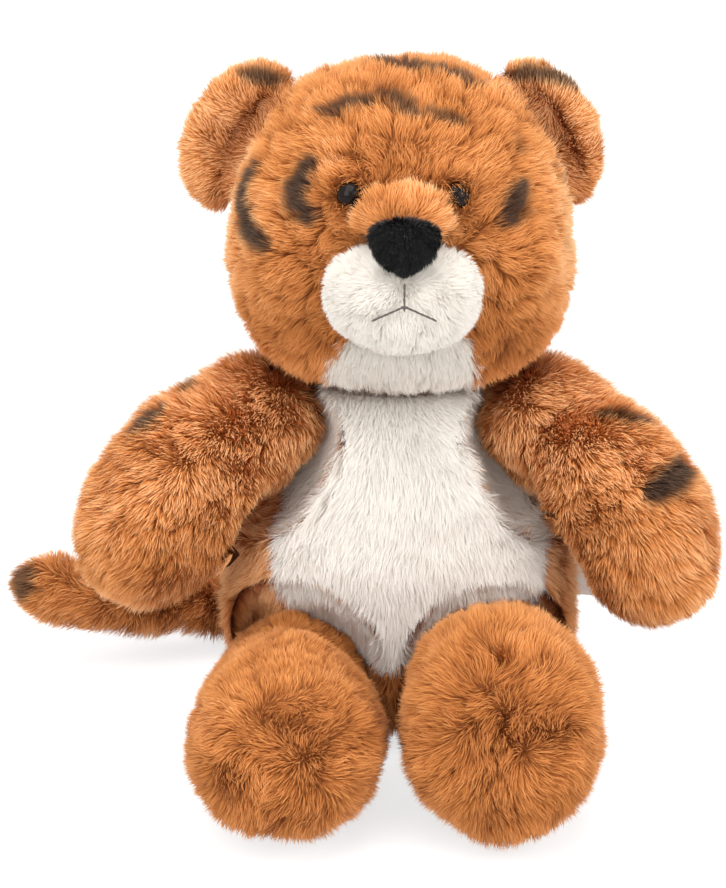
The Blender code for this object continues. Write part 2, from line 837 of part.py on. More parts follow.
def eye_seat(frame):
    # The pocket for the bead, the bore for its shank and the flat for its washer.
    pocket = eye_radius + gap
    bore = shank_radius + gap
    room = washer_radius + seam_gap
    top = eye_radius + overrun
    floor = -eye_sink - eye_back - gap
    end = -eye_sink - eye_back - shank_length - seam_gap
    profile = ((0, top), (pocket, top), (pocket, floor), (bore, floor), (bore, -washer_seat))
    return turned("eye seat", frame, profile + ((room, -washer_seat), (room, end), (0, end)))


def ear_root(side):
    half = (ear_root_radius, ear_root_radius, ear_root_half_length)
    return Egg(ear_frame(side), half)


def make_ear(side):
    name = "left_ear" if side > 0 else "right_ear"
    frame = ear_frame(side)
    out, up = (left_ear_out, left_ear_up) if side > 0 else (right_ear_out, right_ear_up)
    middle = frame @ Matrix.Translation((out, 0, up))
    blade = Egg(middle, (ear_half_reach, ear_half_wall, ear_half_length))
    dish_half = (ear_half_reach - ear_rim - ear_dish_out, ear_dish_depth, ear_half_length - ear_rim)
    dish = Egg(middle @ Matrix.Translation((ear_dish_out, -ear_half_wall, 0)), dish_half)
    root = ear_root(side)
    keeps_out = kept_out(head_egg, frame.translation, ear_axis(side), ear_fold_range, path_gap)

    back = blade.skin(name + "_back", ear_facets, 0, keeps_out, ear_aim_share)
    outside = copy_of(back, "outside")
    combine(back, [root.skin("root", root_facets)], "UNION")
    combine(back, [dish.skin("dish", ear_facets)])
    front = dish.skin(name + "_front", ear_facets, -gap)
    combine(front, [outside], "INTERSECT")
    combine(front, [dish.skin("bowl", ear_facets, -gap - ear_front_wall)])
    return [back, front]


def make_face(head):
    # Muzzle, bridge, nose and mouth thread, each seated on the ones before.
    muzzle = combine(muzzle_egg.skin("muzzle", muzzle_facets), [head], keep=True)
    bridge = bridge_egg.skin("muzzle_bridge", small_facets)
    combine(bridge, [muzzle_egg.skin("below", muzzle_facets, gap)])
    combine(bridge, [head], keep=True)
    nose = nose_egg.skin("nose", small_facets)
    seats = [muzzle_egg.skin("below", muzzle_facets, gap), bridge_egg.skin("behind", small_facets, gap)]
    combine(nose, seats)

    fork = nose_height - nose_half_height - stitch_start - stitch_drop
    lift = Vector((0, -stitch_radius - gap, 0))
    shares = [step / stitch_points for step in range(-stitch_points, stitch_points + 1)]
    branch = [(stitch_half_width * s, fork - stitch_fall * abs(s) ** stitch_curve) for s in shares]
    drop = [(0, fork + stitch_drop * step / stitch_points) for step in range(stitch_points + 1)]
    stitching = thread("mouth_stitching", [surface_point(muzzle, *p) + lift for p in branch], stitch_radius)
    upright = thread("drop", [surface_point(muzzle, *p) + lift for p in drop], stitch_radius)
    combine(stitching, [upright], "UNION")
    return [muzzle, bridge, nose, stitching]


def make_head():
    seat = neck_height + gap
    upright = Matrix.Translation((0, neck_back, 0))
    plug_high = neck_height + 2 * cover_wall
    bottom = head_height - head_half_height
    guide = head_egg.skin("face seat", head_facets, gap)
    cover = head_egg.skin("head_cover", head_facets)
    combine(cover, [below_neck(seat)])
    pieces = make_face(guide)
    remove(guide)
    bridge = pieces[1]
    frames = {side: eye_frame(side, cover) for side in (-1, 1)}

    hollow = head_egg.skin("hollow", hollow_facets, -cover_wall)
    combine(hollow, [rod("bore", upright, neck_bore, bottom, plug_high)], "UNION")
    combine(cover, [hollow])
    stuffing = head_egg.skin("head_stuffing", hollow_facets, -cover_wall - gap)
    combine(stuffing, [rod("plug", upright, neck_bore - gap, bottom, plug_high)], "UNION")
    combine(stuffing, [below_neck(seat + gap)])

    for side, frame in frames.items():
        pieces += make_eye(side, frame)
        combine(cover, [eye_seat(frame)])
        combine(stuffing, [eye_seat(frame)])
        combine(bridge, [eye_seat(frame)])
        groove = socket_radius(ear_root_radius + gap, root_facets) - ear_root_radius
        combine(cover, [ear_root(side).skin("groove", root_facets, groove)])
        combine(stuffing, [ear_root(side).skin("groove", root_facets, groove + gap)])

    throat = head_egg.skin("throat_panel", head_facets)
    front = -head_half_depth * 2
    combine(throat, [prism("outline", throat_outline(0), front, head_back)], "INTERSECT")
    combine(throat, [head_egg.skin("behind panel", head_facets, -panel_wall), below_neck(seat)])
    recess = prism("recess", throat_outline(gap), front, head_back)
    combine(recess, [head_egg.skin("under panel", head_facets, -panel_wall - gap)])
    combine(cover, [recess])
    return [cover, stuffing, throat] + pieces


def hold(name, pivot, parent, pieces):
    # Hangs pieces on an empty at their joint, with their own origins there.
    empty = bpy.data.objects.new(name, None)
    empty.empty_display_size = gap
    bpy.context.collection.objects.link(empty)
    empty.parent = parent
    empty.location = pivot - (parent_place(parent) if parent else Vector())
    for piece in pieces:
        piece.data.transform(Matrix.Translation(-pivot))
        piece.parent = empty
    return empty


def parent_place(item):
    place = Vector()
    while item:
        place += item.location
        item = item.parent
    return place


def paint(pieces, material):
    for piece in pieces:
        tidy(piece)
        piece.data.materials.clear()
        piece.data.materials.append(material)
        piece.data.shade_smooth()
        piece.data.set_sharp_from_angle(angle=sharp_angle)


def build():
    remove(*bpy.data.objects)
    torso = make_torso()
    head = make_head()
    root = hold("tiger", Vector(), None, torso)
    neck = hold("head_turn", neck_pivot, root, head)
    groups = [torso, head]
    for side in (-1, 1):
        word = "left" if side > 0 else "right"
        ear = make_ear(side)
        arm = make_arm(side)
        leg = make_leg(side)
        hold(word + "_ear_fold", ear_frame(side).translation, neck, ear)
        hold(word + "_arm_swing", shoulder(side), root, arm)
        hold(word + "_leg_swing", hip(side), root, leg)
        groups += [ear, arm, leg]
    tail = make_tail()
    hold("tail_wag", tail_pivot, root, tail)
    groups.append(tail)

    tan_pile = make_material("tan pile", (0.62, 0.27, 0.09), 0.9)
    white_pile = make_material("white pile", (0.86, 0.83, 0.78), 0.9)
    black_pile = make_material("black pile", (0.012, 0.011, 0.012), 0.8)
    bead = make_material("black bead", (0.006, 0.005, 0.005), 0.15)
    fitting = make_material("eye fitting", (0.75, 0.75, 0.72), 0.5)
    filling = make_material("stuffing", (0.85, 0.84, 0.8), 1.0)
    pellets = make_material("pellet cloth", (0.55, 0.52, 0.46), 0.8)
    yarn = make_material("mouth thread", (0.05, 0.04, 0.035), 0.7)
    ribbon = make_material("tab ribbon", (0.8, 0.79, 0.76), 0.5)
    finishes = {
        "belly_panel": white_pile,
        "throat_panel": white_pile,
        "muzzle": white_pile,
        "nose": black_pile,
        "left_eye": bead,
        "right_eye": bead,
        "left_eye_washer": fitting,
        "right_eye_washer": fitting,
        "mouth_stitching": yarn,
        "pellet_pouch": pellets,
        "side_seam_tab": ribbon,
    }
    for piece in sum(groups, []):
        usual = filling if piece.name.endswith("stuffing") else tan_pile
        paint([piece], finishes.get(piece.name, usual))


build()
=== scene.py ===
# Plush tiger: each soft part is blown up like stuffed cloth and then covered with a pile of fine strands.
# The strands come from one Geometry Nodes tree, combed by vectors that the skins carry.

import bmesh
import bpy
import numpy as np
from math import cos, pi, radians, sin
from mathutils import Matrix, Vector, noise
from mathutils.bvhtree import BVHTree


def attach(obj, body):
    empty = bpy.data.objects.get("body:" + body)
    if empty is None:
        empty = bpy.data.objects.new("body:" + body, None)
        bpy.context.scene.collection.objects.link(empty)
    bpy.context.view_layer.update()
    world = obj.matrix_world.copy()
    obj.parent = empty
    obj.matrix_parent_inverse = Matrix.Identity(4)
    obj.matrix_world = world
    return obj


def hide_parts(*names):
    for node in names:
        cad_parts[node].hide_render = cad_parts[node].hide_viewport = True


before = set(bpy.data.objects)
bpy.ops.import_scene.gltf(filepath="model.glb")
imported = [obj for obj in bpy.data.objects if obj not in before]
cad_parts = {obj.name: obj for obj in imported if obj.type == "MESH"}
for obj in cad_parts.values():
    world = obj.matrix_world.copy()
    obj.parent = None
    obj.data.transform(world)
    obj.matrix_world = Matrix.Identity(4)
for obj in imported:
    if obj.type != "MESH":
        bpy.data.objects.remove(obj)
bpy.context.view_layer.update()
mm = 0.001
scene = bpy.context.scene

cameraSettings = {
    "aim": (-14.8 * mm, 0, 115 * mm),
    "distance": 1.1,
    "elevation": 20,
    "focalPixels": 2750,
    "middle": (363, 444),
    "longSide": 888,
}


def addObject(name, mesh):
    made = bpy.data.objects.new(name, mesh)
    scene.collection.objects.link(made)
    return made


def makeCamera(settings):
    data = bpy.data.cameras.new("camera")
    camera = addObject("camera", data)
    rise = radians(settings["elevation"])
    camera.location = Vector(settings["aim"]) + Vector((0, -cos(rise), sin(rise))) * settings["distance"]
    camera.rotation_euler = (pi / 2 - rise, 0, 0)
    data.sensor_width = 36
    data.lens = 36 * settings["focalPixels"] / settings["longSide"]
    scene.camera = camera
    return camera


camera = makeCamera(cameraSettings)


def pixelsOf(places):
    # Where places fall in the photograph.
    settings = cameraSettings
    rise = radians(settings["elevation"])
    gap = np.array(places) - np.array(camera.location)
    ahead = gap @ np.array((0, cos(rise), -sin(rise)))
    up = gap @ np.array((0, sin(rise), cos(rise)))
    scale = settings["focalPixels"] / ahead
    return np.stack((settings["middle"][0] + gap[:, 0] * scale, settings["middle"][1] - up * scale), 1)


def pixelRay(x, y):
    # The line of sight through a point of the photograph.
    settings = cameraSettings
    rise = radians(settings["elevation"])
    ahead = Vector((0, cos(rise), -sin(rise)))
    up = Vector((0, sin(rise), cos(rise)))
    across, over = x - settings["middle"][0], settings["middle"][1] - y
    aim = ahead * settings["focalPixels"] + Vector((across, 0, 0)) + up * over
    return camera.location.copy(), aim.normalized()


# Node wiring, for shaders and geometry alike


class Wire:
    # A socket that can stand in a Python expression.
    def __init__(self, graph, socket):
        self.graph = graph
        self.socket = socket

    def isVector(self):
        return self.socket.type in ("VECTOR", "RGBA")

    def mixed(self, operation, other, swapped=False):
        first, second = (other, self) if swapped else (self, other)
        kinds = [
            item.isVector() if isinstance(item, Wire) else hasattr(item, "__len__") for item in (first, second)
        ]
        if not any(kinds):
            return self.graph.add("ShaderNodeMath", {"operation": operation}, {0: first, 1: second})[0]
        if operation == "MULTIPLY" and not all(kinds):
            vector, number = (first, second) if kinds[0] else (second, first)
            return self.graph.add("ShaderNodeVectorMath", {"operation": "SCALE"}, {0: vector, "Scale": number})[0]
        return self.graph.add("ShaderNodeVectorMath", {"operation": operation}, {0: first, 1: second})[0]

    def __add__(self, other):
        return self.mixed("ADD", other)

    def __radd__(self, other):
        return self.mixed("ADD", other, True)

    def __sub__(self, other):
        return self.mixed("SUBTRACT", other)

    def __rsub__(self, other):
        return self.mixed("SUBTRACT", other, True)

    def __mul__(self, other):
        return self.mixed("MULTIPLY", other)

    def __rmul__(self, other):
        return self.mixed("MULTIPLY", other, True)

    def __truediv__(self, other):
        return self.mixed("DIVIDE", other)

    def __rtruediv__(self, other):
        return self.mixed("DIVIDE", other, True)

    def __pow__(self, other):
        return self.mixed("POWER", other)

    def clamped(self, low=0.0, high=1.0):
        return self.mixed("MAXIMUM", low).mixed("MINIMUM", high)

    def unit(self):
        return self.graph.add("ShaderNodeVectorMath", {"operation": "NORMALIZE"}, {0: self})[0]

    def cross(self, other):
        return self.mixed("CROSS_PRODUCT", other)

    def part(self, index):
        return self.graph.add("ShaderNodeSeparateXYZ", {}, {0: self})[index]


class Made:
    # A node whose outputs are read as wires.
    def __init__(self, graph, node):
        self.graph = graph
        self.node = node

    def __getitem__(self, key):
        return Wire(self.graph, self.node.outputs[key])


class Graph:
    def __init__(self, tree):
        self.tree = tree

    def add(self, kind, settings=None, values=None):
        node = self.tree.nodes.new(kind)
        for name, value in (settings or {}).items():
            if name == "stops":
                ramp = node.color_ramp
                while len(ramp.elements) < len(value):
                    ramp.elements.new(0.5)
                for element, (place, colour) in zip(ramp.elements, value):
                    element.position = place
                    element.color = (*colour, 1)
            else:
                setattr(node, name, value)
        for key, value in (values or {}).items():
            if isinstance(value, Wire):
                self.tree.links.new(value.socket, node.inputs[key])
            else:
                node.inputs[key].default_value = value
        return Made(self, node)

    def attribute(self, name, kind="FLOAT"):
        return self.add("GeometryNodeInputNamedAttribute", {"data_type": kind}, {"Name": name})["Attribute"]

    def store(self, geometry, name, value, kind="FLOAT", domain="POINT"):
        settings = {"data_type": kind, "domain": domain}
        values = {"Geometry": geometry, "Name": name, "Value": value}
        return self.add("GeometryNodeStoreNamedAttribute", settings, values)["Geometry"]

    def withNormals(self, geometry, normal):
        values = {"Mesh": geometry, "Custom Normal": normal}
        return self.add("GeometryNodeSetMeshNormal", {"mode": "FREE", "domain": "POINT"}, values)[0]

    def setMaterial(self, geometry, material):
        return self.add("GeometryNodeSetMaterial", {}, {"Geometry": geometry, "Material": material})["Geometry"]


# Finishes. Colour is read from the strands' map: across it from root to tip, up it from ground to stripe. The ramps run
# from a dark root, painted shade deep in the pile, to a pale tip that is partly painted highlight.


def newMaterial(name):
    material = bpy.data.materials.new(name)
    material.use_nodes = True
    graph = Graph(material.node_tree)
    shader = material.node_tree.nodes["Principled BSDF"]
    return material, graph, shader


def setSockets(shader, values):
    for name, value in values.items():
        shader.inputs[name].default_value = value


def glowOf(graph, stops, along):
    # Each shader keeps one colour of the ramp, and the place along the strand mixes one into the next.
    glow = graph.add("ShaderNodeBsdfTranslucent", {}, {"Color": (*stops[0][1], 1)})["BSDF"]
    for (start, _), (end, colour) in zip(stops, stops[1:]):
        following = graph.add("ShaderNodeBsdfTranslucent", {}, {"Color": (*colour, 1)})["BSDF"]
        share = ((along - start) * (1 / (end - start))).clamped()
        glow = graph.add("ShaderNodeMixShader", {}, {"Fac": share, 1: glow, 2: following})[0]
    return glow


def pileMaterial(name, ground, marking, values):
    material, graph, shader = newMaterial(name)
    place = graph.add("ShaderNodeUVMap", {"uv_map": "OFBake"})["UV"]
    along, mark = place.part(0), place.part(1)
    base = graph.add("ShaderNodeValToRGB", {"stops": ground}, {"Fac": along})["Color"]
    dark = graph.add("ShaderNodeValToRGB", {"stops": marking}, {"Fac": along})["Color"]
    mixValues = {"Factor": mark.clamped(), 6: base, 7: dark}
    colour = graph.add("ShaderNodeMix", {"data_type": "RGBA"}, mixValues)[2]
    graph.tree.links.new(colour.socket, shader.inputs["Base Color"])
    setSockets(shader, values)
    # A strand seen from beneath glows with the light that falls on its upper side.
    glows = [glowOf(graph, stops, along) for stops in (ground, marking)]
    glow = graph.add("ShaderNodeMixShader", {}, {"Fac": mark.clamped(), 1: glows[0], 2: glows[1]})[0]
    behind = graph.add("ShaderNodeNewGeometry")["Backfacing"] * 0.88
    both = graph.add("ShaderNodeMixShader", {}, {"Fac": behind, 1: Wire(graph, shader.outputs[0]), 2: glow})[0]
    graph.tree.links.new(both.socket, material.node_tree.nodes["Material Output"].inputs["Surface"])
    return material


softValues = {"Roughness": 0.75, "Specular IOR Level": 0.18, "Sheen Weight": 0.12, "Sheen Roughness": 0.5}

tanPile = pileMaterial(
    "tan pile",
    (
        (0.0, (0.22, 0.062, 0.012)),
        (0.35, (0.46, 0.160, 0.036)),
        (0.7, (0.70, 0.295, 0.090)),
        (1.0, (0.94, 0.58, 0.30)),
    ),
    (
        (0.0, (0.06, 0.022, 0.010)),
        (0.5, (0.040, 0.021, 0.013)),
        (1.0, (0.12, 0.070, 0.042)),
    ),
    softValues,
)
whitePile = pileMaterial(
    "white pile",
    (
        (0.0, (0.70, 0.655, 0.59)),
        (0.4, (0.80, 0.765, 0.71)),
        (1.0, (0.90, 0.875, 0.83)),
    ),
    (
        (0.0, (0.30, 0.16, 0.08)),
        (1.0, (0.75, 0.55, 0.38)),
    ),
    softValues,
)
# The black pile's lighter tip end is a painted highlight on the nose.
blackPile = pileMaterial(
    "black pile",
    (
        (0.0, (0.002, 0.002, 0.002)),
        (0.5, (0.004, 0.0038, 0.004)),
        (1.0, (0.085, 0.080, 0.085)),
    ),
    (
        (0.0, (0.01, 0.01, 0.01)),
        (1.0, (0.03, 0.03, 0.03)),
    ),
    softValues,
)

print("finishes made")


# The pile tree

pileInputs = {
    "Long per Area": ("NodeSocketFloat", 1.3e6),  # bent strands
    "Short per Area": ("NodeSocketFloat", 4.0e6),  # straight strands between them
    "Length": ("NodeSocketFloat", 9 * mm),
    "Width": ("NodeSocketFloat", 0.4 * mm),
    "Lean": ("NodeSocketFloat", 1.1),
    "Tuft Size": ("NodeSocketFloat", 8 * mm),
    "Tuft Pull": ("NodeSocketFloat", 0.3),
    "Hollow": ("NodeSocketFloat", 0.35),  # how much shorter the strands between tufts are
    "Wave": ("NodeSocketFloat", 0.6),
    "Scatter": ("NodeSocketFloat", 0.3),
    # Tone: on the ears and arms it is painted light, on the muzzle and throat painted shade.
    "Tone": ("NodeSocketFloat", 0.0),  # lighter above 0
    "Seed": ("NodeSocketInt", 1),
    "Finish": ("NodeSocketMaterial", None),
}


def plant(g, given, bends, perArea, longer, wider, seedStep, toneStep):
    # One kind of strand over the skin, thinned where the skin carries less fill.
    seed = given["Seed"] + seedStep
    scattered = g.add(
        "GeometryNodeDistributePointsOnFaces",
        {"distribute_method": "RANDOM"},
        {"Mesh": given["Geometry"], "Density": given[perArea] * g.attribute("fill"), "Seed": seed},
    )
    root = g.add("GeometryNodeInputPosition")[0]
    out = scattered["Normal"]
    chance = g.add("FunctionNodeRandomValue", {"data_type": "FLOAT"}, {"Seed": seed})[1]
    astrayValues = {0: (-1, -1, -1), 1: (1, 1, 1), "Seed": seed}
    astray = g.add("FunctionNodeRandomValue", {"data_type": "FLOAT_VECTOR"}, astrayValues)[0]
    waves = g.add("ShaderNodeTexNoise", {}, {"Vector": root, "Scale": 1 / (15 * mm), "Detail": 1.0})["Color"]
    ripples = g.add("ShaderNodeTexNoise", {}, {"Vector": root, "Scale": 1 / (6 * mm), "Detail": 1.0})["Color"]
    patches = g.add("ShaderNodeTexNoise", {}, {"Vector": root, "Scale": 1 / (23 * mm), "Detail": 2.0})[0]

    # Tufts: neighbouring strands reach for the middle of their cell, and are shorter at its edge.
    size = given["Tuft Size"]
    shifted = root + waves * size + ripples * (size * 0.6)
    cells = g.add("ShaderNodeTexVoronoi", {"feature": "F1"}, {"Vector": shifted, "Scale": 1 / size})
    valley = (cells["Distance"] * 1.1).clamped() ** 2.0
    pull = (cells["Position"] - shifted) * given["Tuft Pull"]
    lean = g.attribute("comb", "FLOAT_VECTOR") * given["Lean"]
    sway = (waves + ripples * 0.8 - (0.9, 0.9, 0.9)) * (given["Wave"] * 2.0)
    heading = (out + lean + sway + astray * given["Scatter"]).unit()
    length = given["Length"] * g.attribute("lengthShare") * (0.74 + chance * 0.36) * (1 - valley * given["Hollow"]) * longer
    tip = root + heading * length + pull
    upright = root + (out * 0.75 + heading * 0.35) * (length * 0.5) + pull * 0.25
    level = heading.cross(out).unit()
    roll = (chance * 37.0).mixed("FRACT", 0.0) - 0.5
    side = (level + heading.cross(level) * (roll * 1.6)).unit()
    # Each strand's tone: random and in patches, plus painted shade in the partings between tufts (valley), the piece's
    # Tone, and the shade spots, which are painted light and painted shade.
    toneAndPaintedLight = (chance - 0.5) * 0.4 + (patches - 0.5) * 0.6 - valley * 0.2 + given["Tone"] + g.attribute("shade") + toneStep
    points = scattered["Points"]
    for name, value, kind in (
        ("rootPlace", root, "FLOAT_VECTOR"),
        ("bendPlace", upright, "FLOAT_VECTOR"),
        ("tipPlace", tip, "FLOAT_VECTOR"),
        ("sideWay", side, "FLOAT_VECTOR"),
        ("outWay", out, "FLOAT_VECTOR"),
        ("ownTone", toneAndPaintedLight, "FLOAT"),
        ("ownMark", g.attribute("stripe") + (chance - 0.5) * 0.1, "FLOAT"),
    ):
        points = g.store(points, name, value, kind)

    # One strand, two corners wide, with its last row drawn together into a tip
    blade = g.add("GeometryNodeMeshGrid", {}, {"Size X": 1.0, "Size Y": 1.0, "Vertices X": 2, "Vertices Y": bends})
    place = g.add("GeometryNodeInputPosition")[0]
    along = place.part(1) + 0.5
    shape = g.store(blade["Mesh"], "along", along)
    last = g.add("FunctionNodeCompare", {"operation": "GREATER_THAN"}, {0: along, 1: 0.99})[0]
    drawn = {"Geometry": shape, "Selection": last, "Position": place * (0, 1, 1)}
    closed = g.add("GeometryNodeSetPosition", {}, drawn)["Geometry"]
    merged = g.add("GeometryNodeMergeByDistance", {}, {"Geometry": closed, "Distance": 0.001})["Geometry"]
    single = g.store(merged, "across", place.part(0) * 2.0)
    planted = g.add("GeometryNodeInstanceOnPoints", {}, {"Points": points, "Instance": single})["Instances"]
    strands = g.add("GeometryNodeRealizeInstances", {}, {"Geometry": planted})["Geometry"]

    t, a = g.attribute("along"), g.attribute("across")
    start, bend, end, sideWay, outWay = (
        g.attribute(name, "FLOAT_VECTOR") for name in ("rootPlace", "bendPlace", "tipPlace", "sideWay", "outWay")
    )
    left = 1 - t
    course = start * (left * left) + bend * (left * t * 2.0) + end * (t * t)
    free = course + sideWay * (a * given["Width"] * 0.5 * wider)
    height = free.part(2).mixed("MAXIMUM", 0.2 * mm)  # none reaches through the floor
    onFloor = g.add("ShaderNodeCombineXYZ", {}, {0: free.part(0), 1: free.part(1), 2: height})[0]
    laid = g.add("GeometryNodeSetPosition", {}, {"Geometry": strands, "Position": onFloor})["Geometry"]
    face = sideWay.cross((end - start).unit())
    shade = (outWay * 0.8 + face * 0.5 + sideWay * (a * 0.2)).unit()
    # Tone runs from the dark root, painted shade, to the pale tip, partly painted highlight, with each strand's tone
    # and painted light added.
    tone = (0.06 + (t**0.8) * 0.62 + g.attribute("ownTone") * (0.25 + t * 0.75)).clamped(0.01, 0.985)
    mark = (g.attribute("ownMark") + a * 0.004).clamped(0.01, 0.99)
    mapped = g.store(laid, "OFBake", g.add("ShaderNodeCombineXYZ", {}, {0: tone, 1: mark})[0], "FLOAT2", "CORNER")
    return g.withNormals(mapped, shade)


def makePileTree():
    tree = bpy.data.node_groups.new("pile of strands", "GeometryNodeTree")
    tree.interface.new_socket("Geometry", in_out="INPUT", socket_type="NodeSocketGeometry")
    for name, (kind, value) in pileInputs.items():
        socket = tree.interface.new_socket(name, in_out="INPUT", socket_type=kind)
        if value is not None:
            socket.default_value = value
    tree.interface.new_socket("Geometry", in_out="OUTPUT", socket_type="NodeSocketGeometry")
    g = Graph(tree)
    given = g.add("NodeGroupInput")
    longer = plant(g, given, 3, "Long per Area", 1.0, 1.0, 0, 0.04)
    shorter = plant(g, given, 2, "Short per Area", 0.86, 0.9, 100, -0.06)

    # The cloth under the strands, coloured from the ramps' dark root end: painted shade under the pile
    root = g.add("GeometryNodeInputPosition")[0]
    speckle = g.add("ShaderNodeTexNoise", {}, {"Vector": root, "Scale": 1 / (2 * mm)})[0]
    shadeOf = {0: speckle * 0.12 + 0.02, 1: (g.attribute("stripe") + speckle * 0.01).clamped(0.01, 0.99)}
    backing = g.store(given["Geometry"], "OFBake", g.add("ShaderNodeCombineXYZ", {}, shadeOf)[0], "FLOAT2", "CORNER")
    backing = g.withNormals(backing, g.add("GeometryNodeInputNormal")[0])
    joined = g.add("GeometryNodeJoinGeometry")
    for item in (backing, longer, shorter):
        tree.links.new(item.socket, joined.node.inputs[0])
    realized = g.add("GeometryNodeRealizeInstances", {}, {"Geometry": joined[0]})["Geometry"]
    finished = g.setMaterial(realized, given["Finish"])
    result = g.add("NodeGroupOutput")
    tree.links.new(finished.socket, result.node.inputs[0])
    return tree


pileTree = makePileTree()
print("pile tree made")


# Skins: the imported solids, merged, remeshed and blown up

skinSettings = {
    "voxel": 4.5 * mm,
    "smaller": 1.2 * mm,  # drawn in before the stuffing is blown in
    "pressure": 4,
    "frames": 20,
    "farthest": 3.0 * mm,
    "smoothing": 6,
}


def cadMesh(names):
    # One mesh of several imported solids, with their loose triangles merged.
    merged = bmesh.new()
    for name in names:
        merged.from_mesh(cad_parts[name].data)
    bmesh.ops.remove_doubles(merged, verts=merged.verts, dist=0.01 * mm)
    mesh = bpy.data.meshes.new(names[0] + " merged")
    merged.to_mesh(mesh)
    merged.free()
    return mesh


def baked(item, keepName=None):
    graph = bpy.context.evaluated_depsgraph_get()
    mesh = bpy.data.meshes.new_from_object(item.evaluated_get(graph), preserve_all_data_layers=True, depsgraph=graph)
    item.modifiers.clear()
    item.data = mesh
    return item


def largestPart(mesh):
    # Keeps the outer shell alone.
    loose = bmesh.new()
    loose.from_mesh(mesh)
    left = set(loose.verts)
    shells = []
    while left:
        stack = [left.pop()]
        shell = set(stack)
        while stack:
            for edge in stack.pop().link_edges:
                for vertex in edge.verts:
                    if vertex in left:
                        left.discard(vertex)
                        shell.add(vertex)
                        stack.append(vertex)
        shells.append(shell)
    keep = max(shells, key=len)
    bmesh.ops.delete(loose, geom=[v for v in loose.verts if v not in keep], context="VERTS")
    loose.to_mesh(mesh)
    loose.free()


def coordinates(mesh, normals=False):
    values = np.zeros(len(mesh.vertices) * 3)
    if normals:
        mesh.vertex_normals.foreach_get("vector", values)
    else:
        mesh.vertices.foreach_get("co", values)
    return values.reshape(-1, 3)


def setCoordinates(mesh, places):
    mesh.vertices.foreach_set("co", np.ascontiguousarray(places).ravel())
    mesh.update()


def relaxed(mesh, rounds, amount=0.5):
    # Evens out the skin without drawing it in: each smoothing step is followed by a wider one back.
    edges = np.zeros(len(mesh.edges) * 2, int)
    mesh.edges.foreach_get("vertices", edges)
    first, second = edges.reshape(-1, 2).T
    count = np.bincount(np.r_[first, second], minlength=len(mesh.vertices))[:, None]
    places = coordinates(mesh)
    for step in range(rounds * 2):
        total = np.zeros_like(places)
        np.add.at(total, first, places[second])
        np.add.at(total, second, places[first])
        share = amount if step % 2 == 0 else -amount * 1.04
        places = places + (total / count - places) * share
    setCoordinates(mesh, places)


def treeOf(mesh):
    graph = bmesh.new()
    graph.from_mesh(mesh)
    made = BVHTree.FromBMesh(graph)
    graph.free()
    return made


def evened(mesh, values, rounds):
    # Values averaged between neighbours
    edges = np.zeros(len(mesh.edges) * 2, int)
    mesh.edges.foreach_get("vertices", edges)
    first, second = edges.reshape(-1, 2).T
    count = np.bincount(np.r_[first, second], minlength=len(mesh.vertices))
    for step in range(rounds):
        total = np.bincount(first, values[second], len(values)) + np.bincount(second, values[first], len(values))
        values = (values + total / count) / 2
    return values


def atMost(mesh, depths, share):
    # Depths held to a share of the thickness under each place, so that thin rims don't turn inside out.
    tree = treeOf(mesh)
    thick = []
    for place, outward in zip(coordinates(mesh), coordinates(mesh, True)):
        aim = -Vector(outward)
        hit = tree.ray_cast(Vector(place) + aim * 0.2 * mm, aim)
        thick.append(hit[3] if hit[0] else 1.0)
    return evened(mesh, np.minimum(depths, np.array(thick) * share), 2)


def makeSkin(name, nodes, depth, voxel=None):
    # A closed skin that lies this deep inside the solids' surface, where they are thick enough.
    skin = addObject(name, cadMesh(nodes))
    remesh = skin.modifiers.new("even", "REMESH")
    remesh.mode = "VOXEL"
    remesh.voxel_size = voxel or skinSettings["voxel"]
    remesh.use_smooth_shade = True
    baked(skin)
    largestPart(skin.data)
    relaxed(skin.data, skinSettings["smoothing"])
    inward = coordinates(skin.data, True)
    depths = atMost(skin.data, np.full(len(inward), depth + skinSettings["smaller"]), 0.3)
    setCoordinates(skin.data, coordinates(skin.data) - inward * depths[:, None])
    skin["depth"] = depth
    return skin


skinPlan = {
    # name: (nodes, how deep the roots lie below the surface, voxel)
    "torso": (("torso_cover", "torso_stuffing", "belly_panel"), 5.0, 4.5),
    "head": (("head_cover", "head_stuffing", "throat_panel"), 5.0, 4.5),
    "muzzle": (("muzzle",), 2.6, 3.0),
    "bridge": (("muzzle_bridge",), 3.0, 3.0),
    "nose": (("nose",), 1.2, 2.0),
    "left_ear": (("left_ear_back", "left_ear_front"), 1.0, 2.4),
    "right_ear": (("right_ear_back", "right_ear_front"), 1.0, 2.4),
    "left_arm": (("left_arm_cover", "left_arm_stuffing"), 5.0, 4.5),
    "right_arm": (("right_arm_cover", "right_arm_stuffing"), 5.0, 4.5),
    "left_leg": (("left_leg_cover", "left_leg_stuffing", "left_sole"), 5.0, 4.5),
    "right_leg": (("right_leg_cover", "right_leg_stuffing", "right_sole"), 5.0, 4.5),
    "tail": (("tail_cover", "tail_stuffing"), 4.5, 4.0),
}
skins = {
    name: makeSkin(name + "Skin", nodes, depth * mm, voxel * mm) for name, (nodes, depth, voxel) in skinPlan.items()
}
print("skins made:", {name: len(skin.data.vertices) for name, skin in skins.items()})


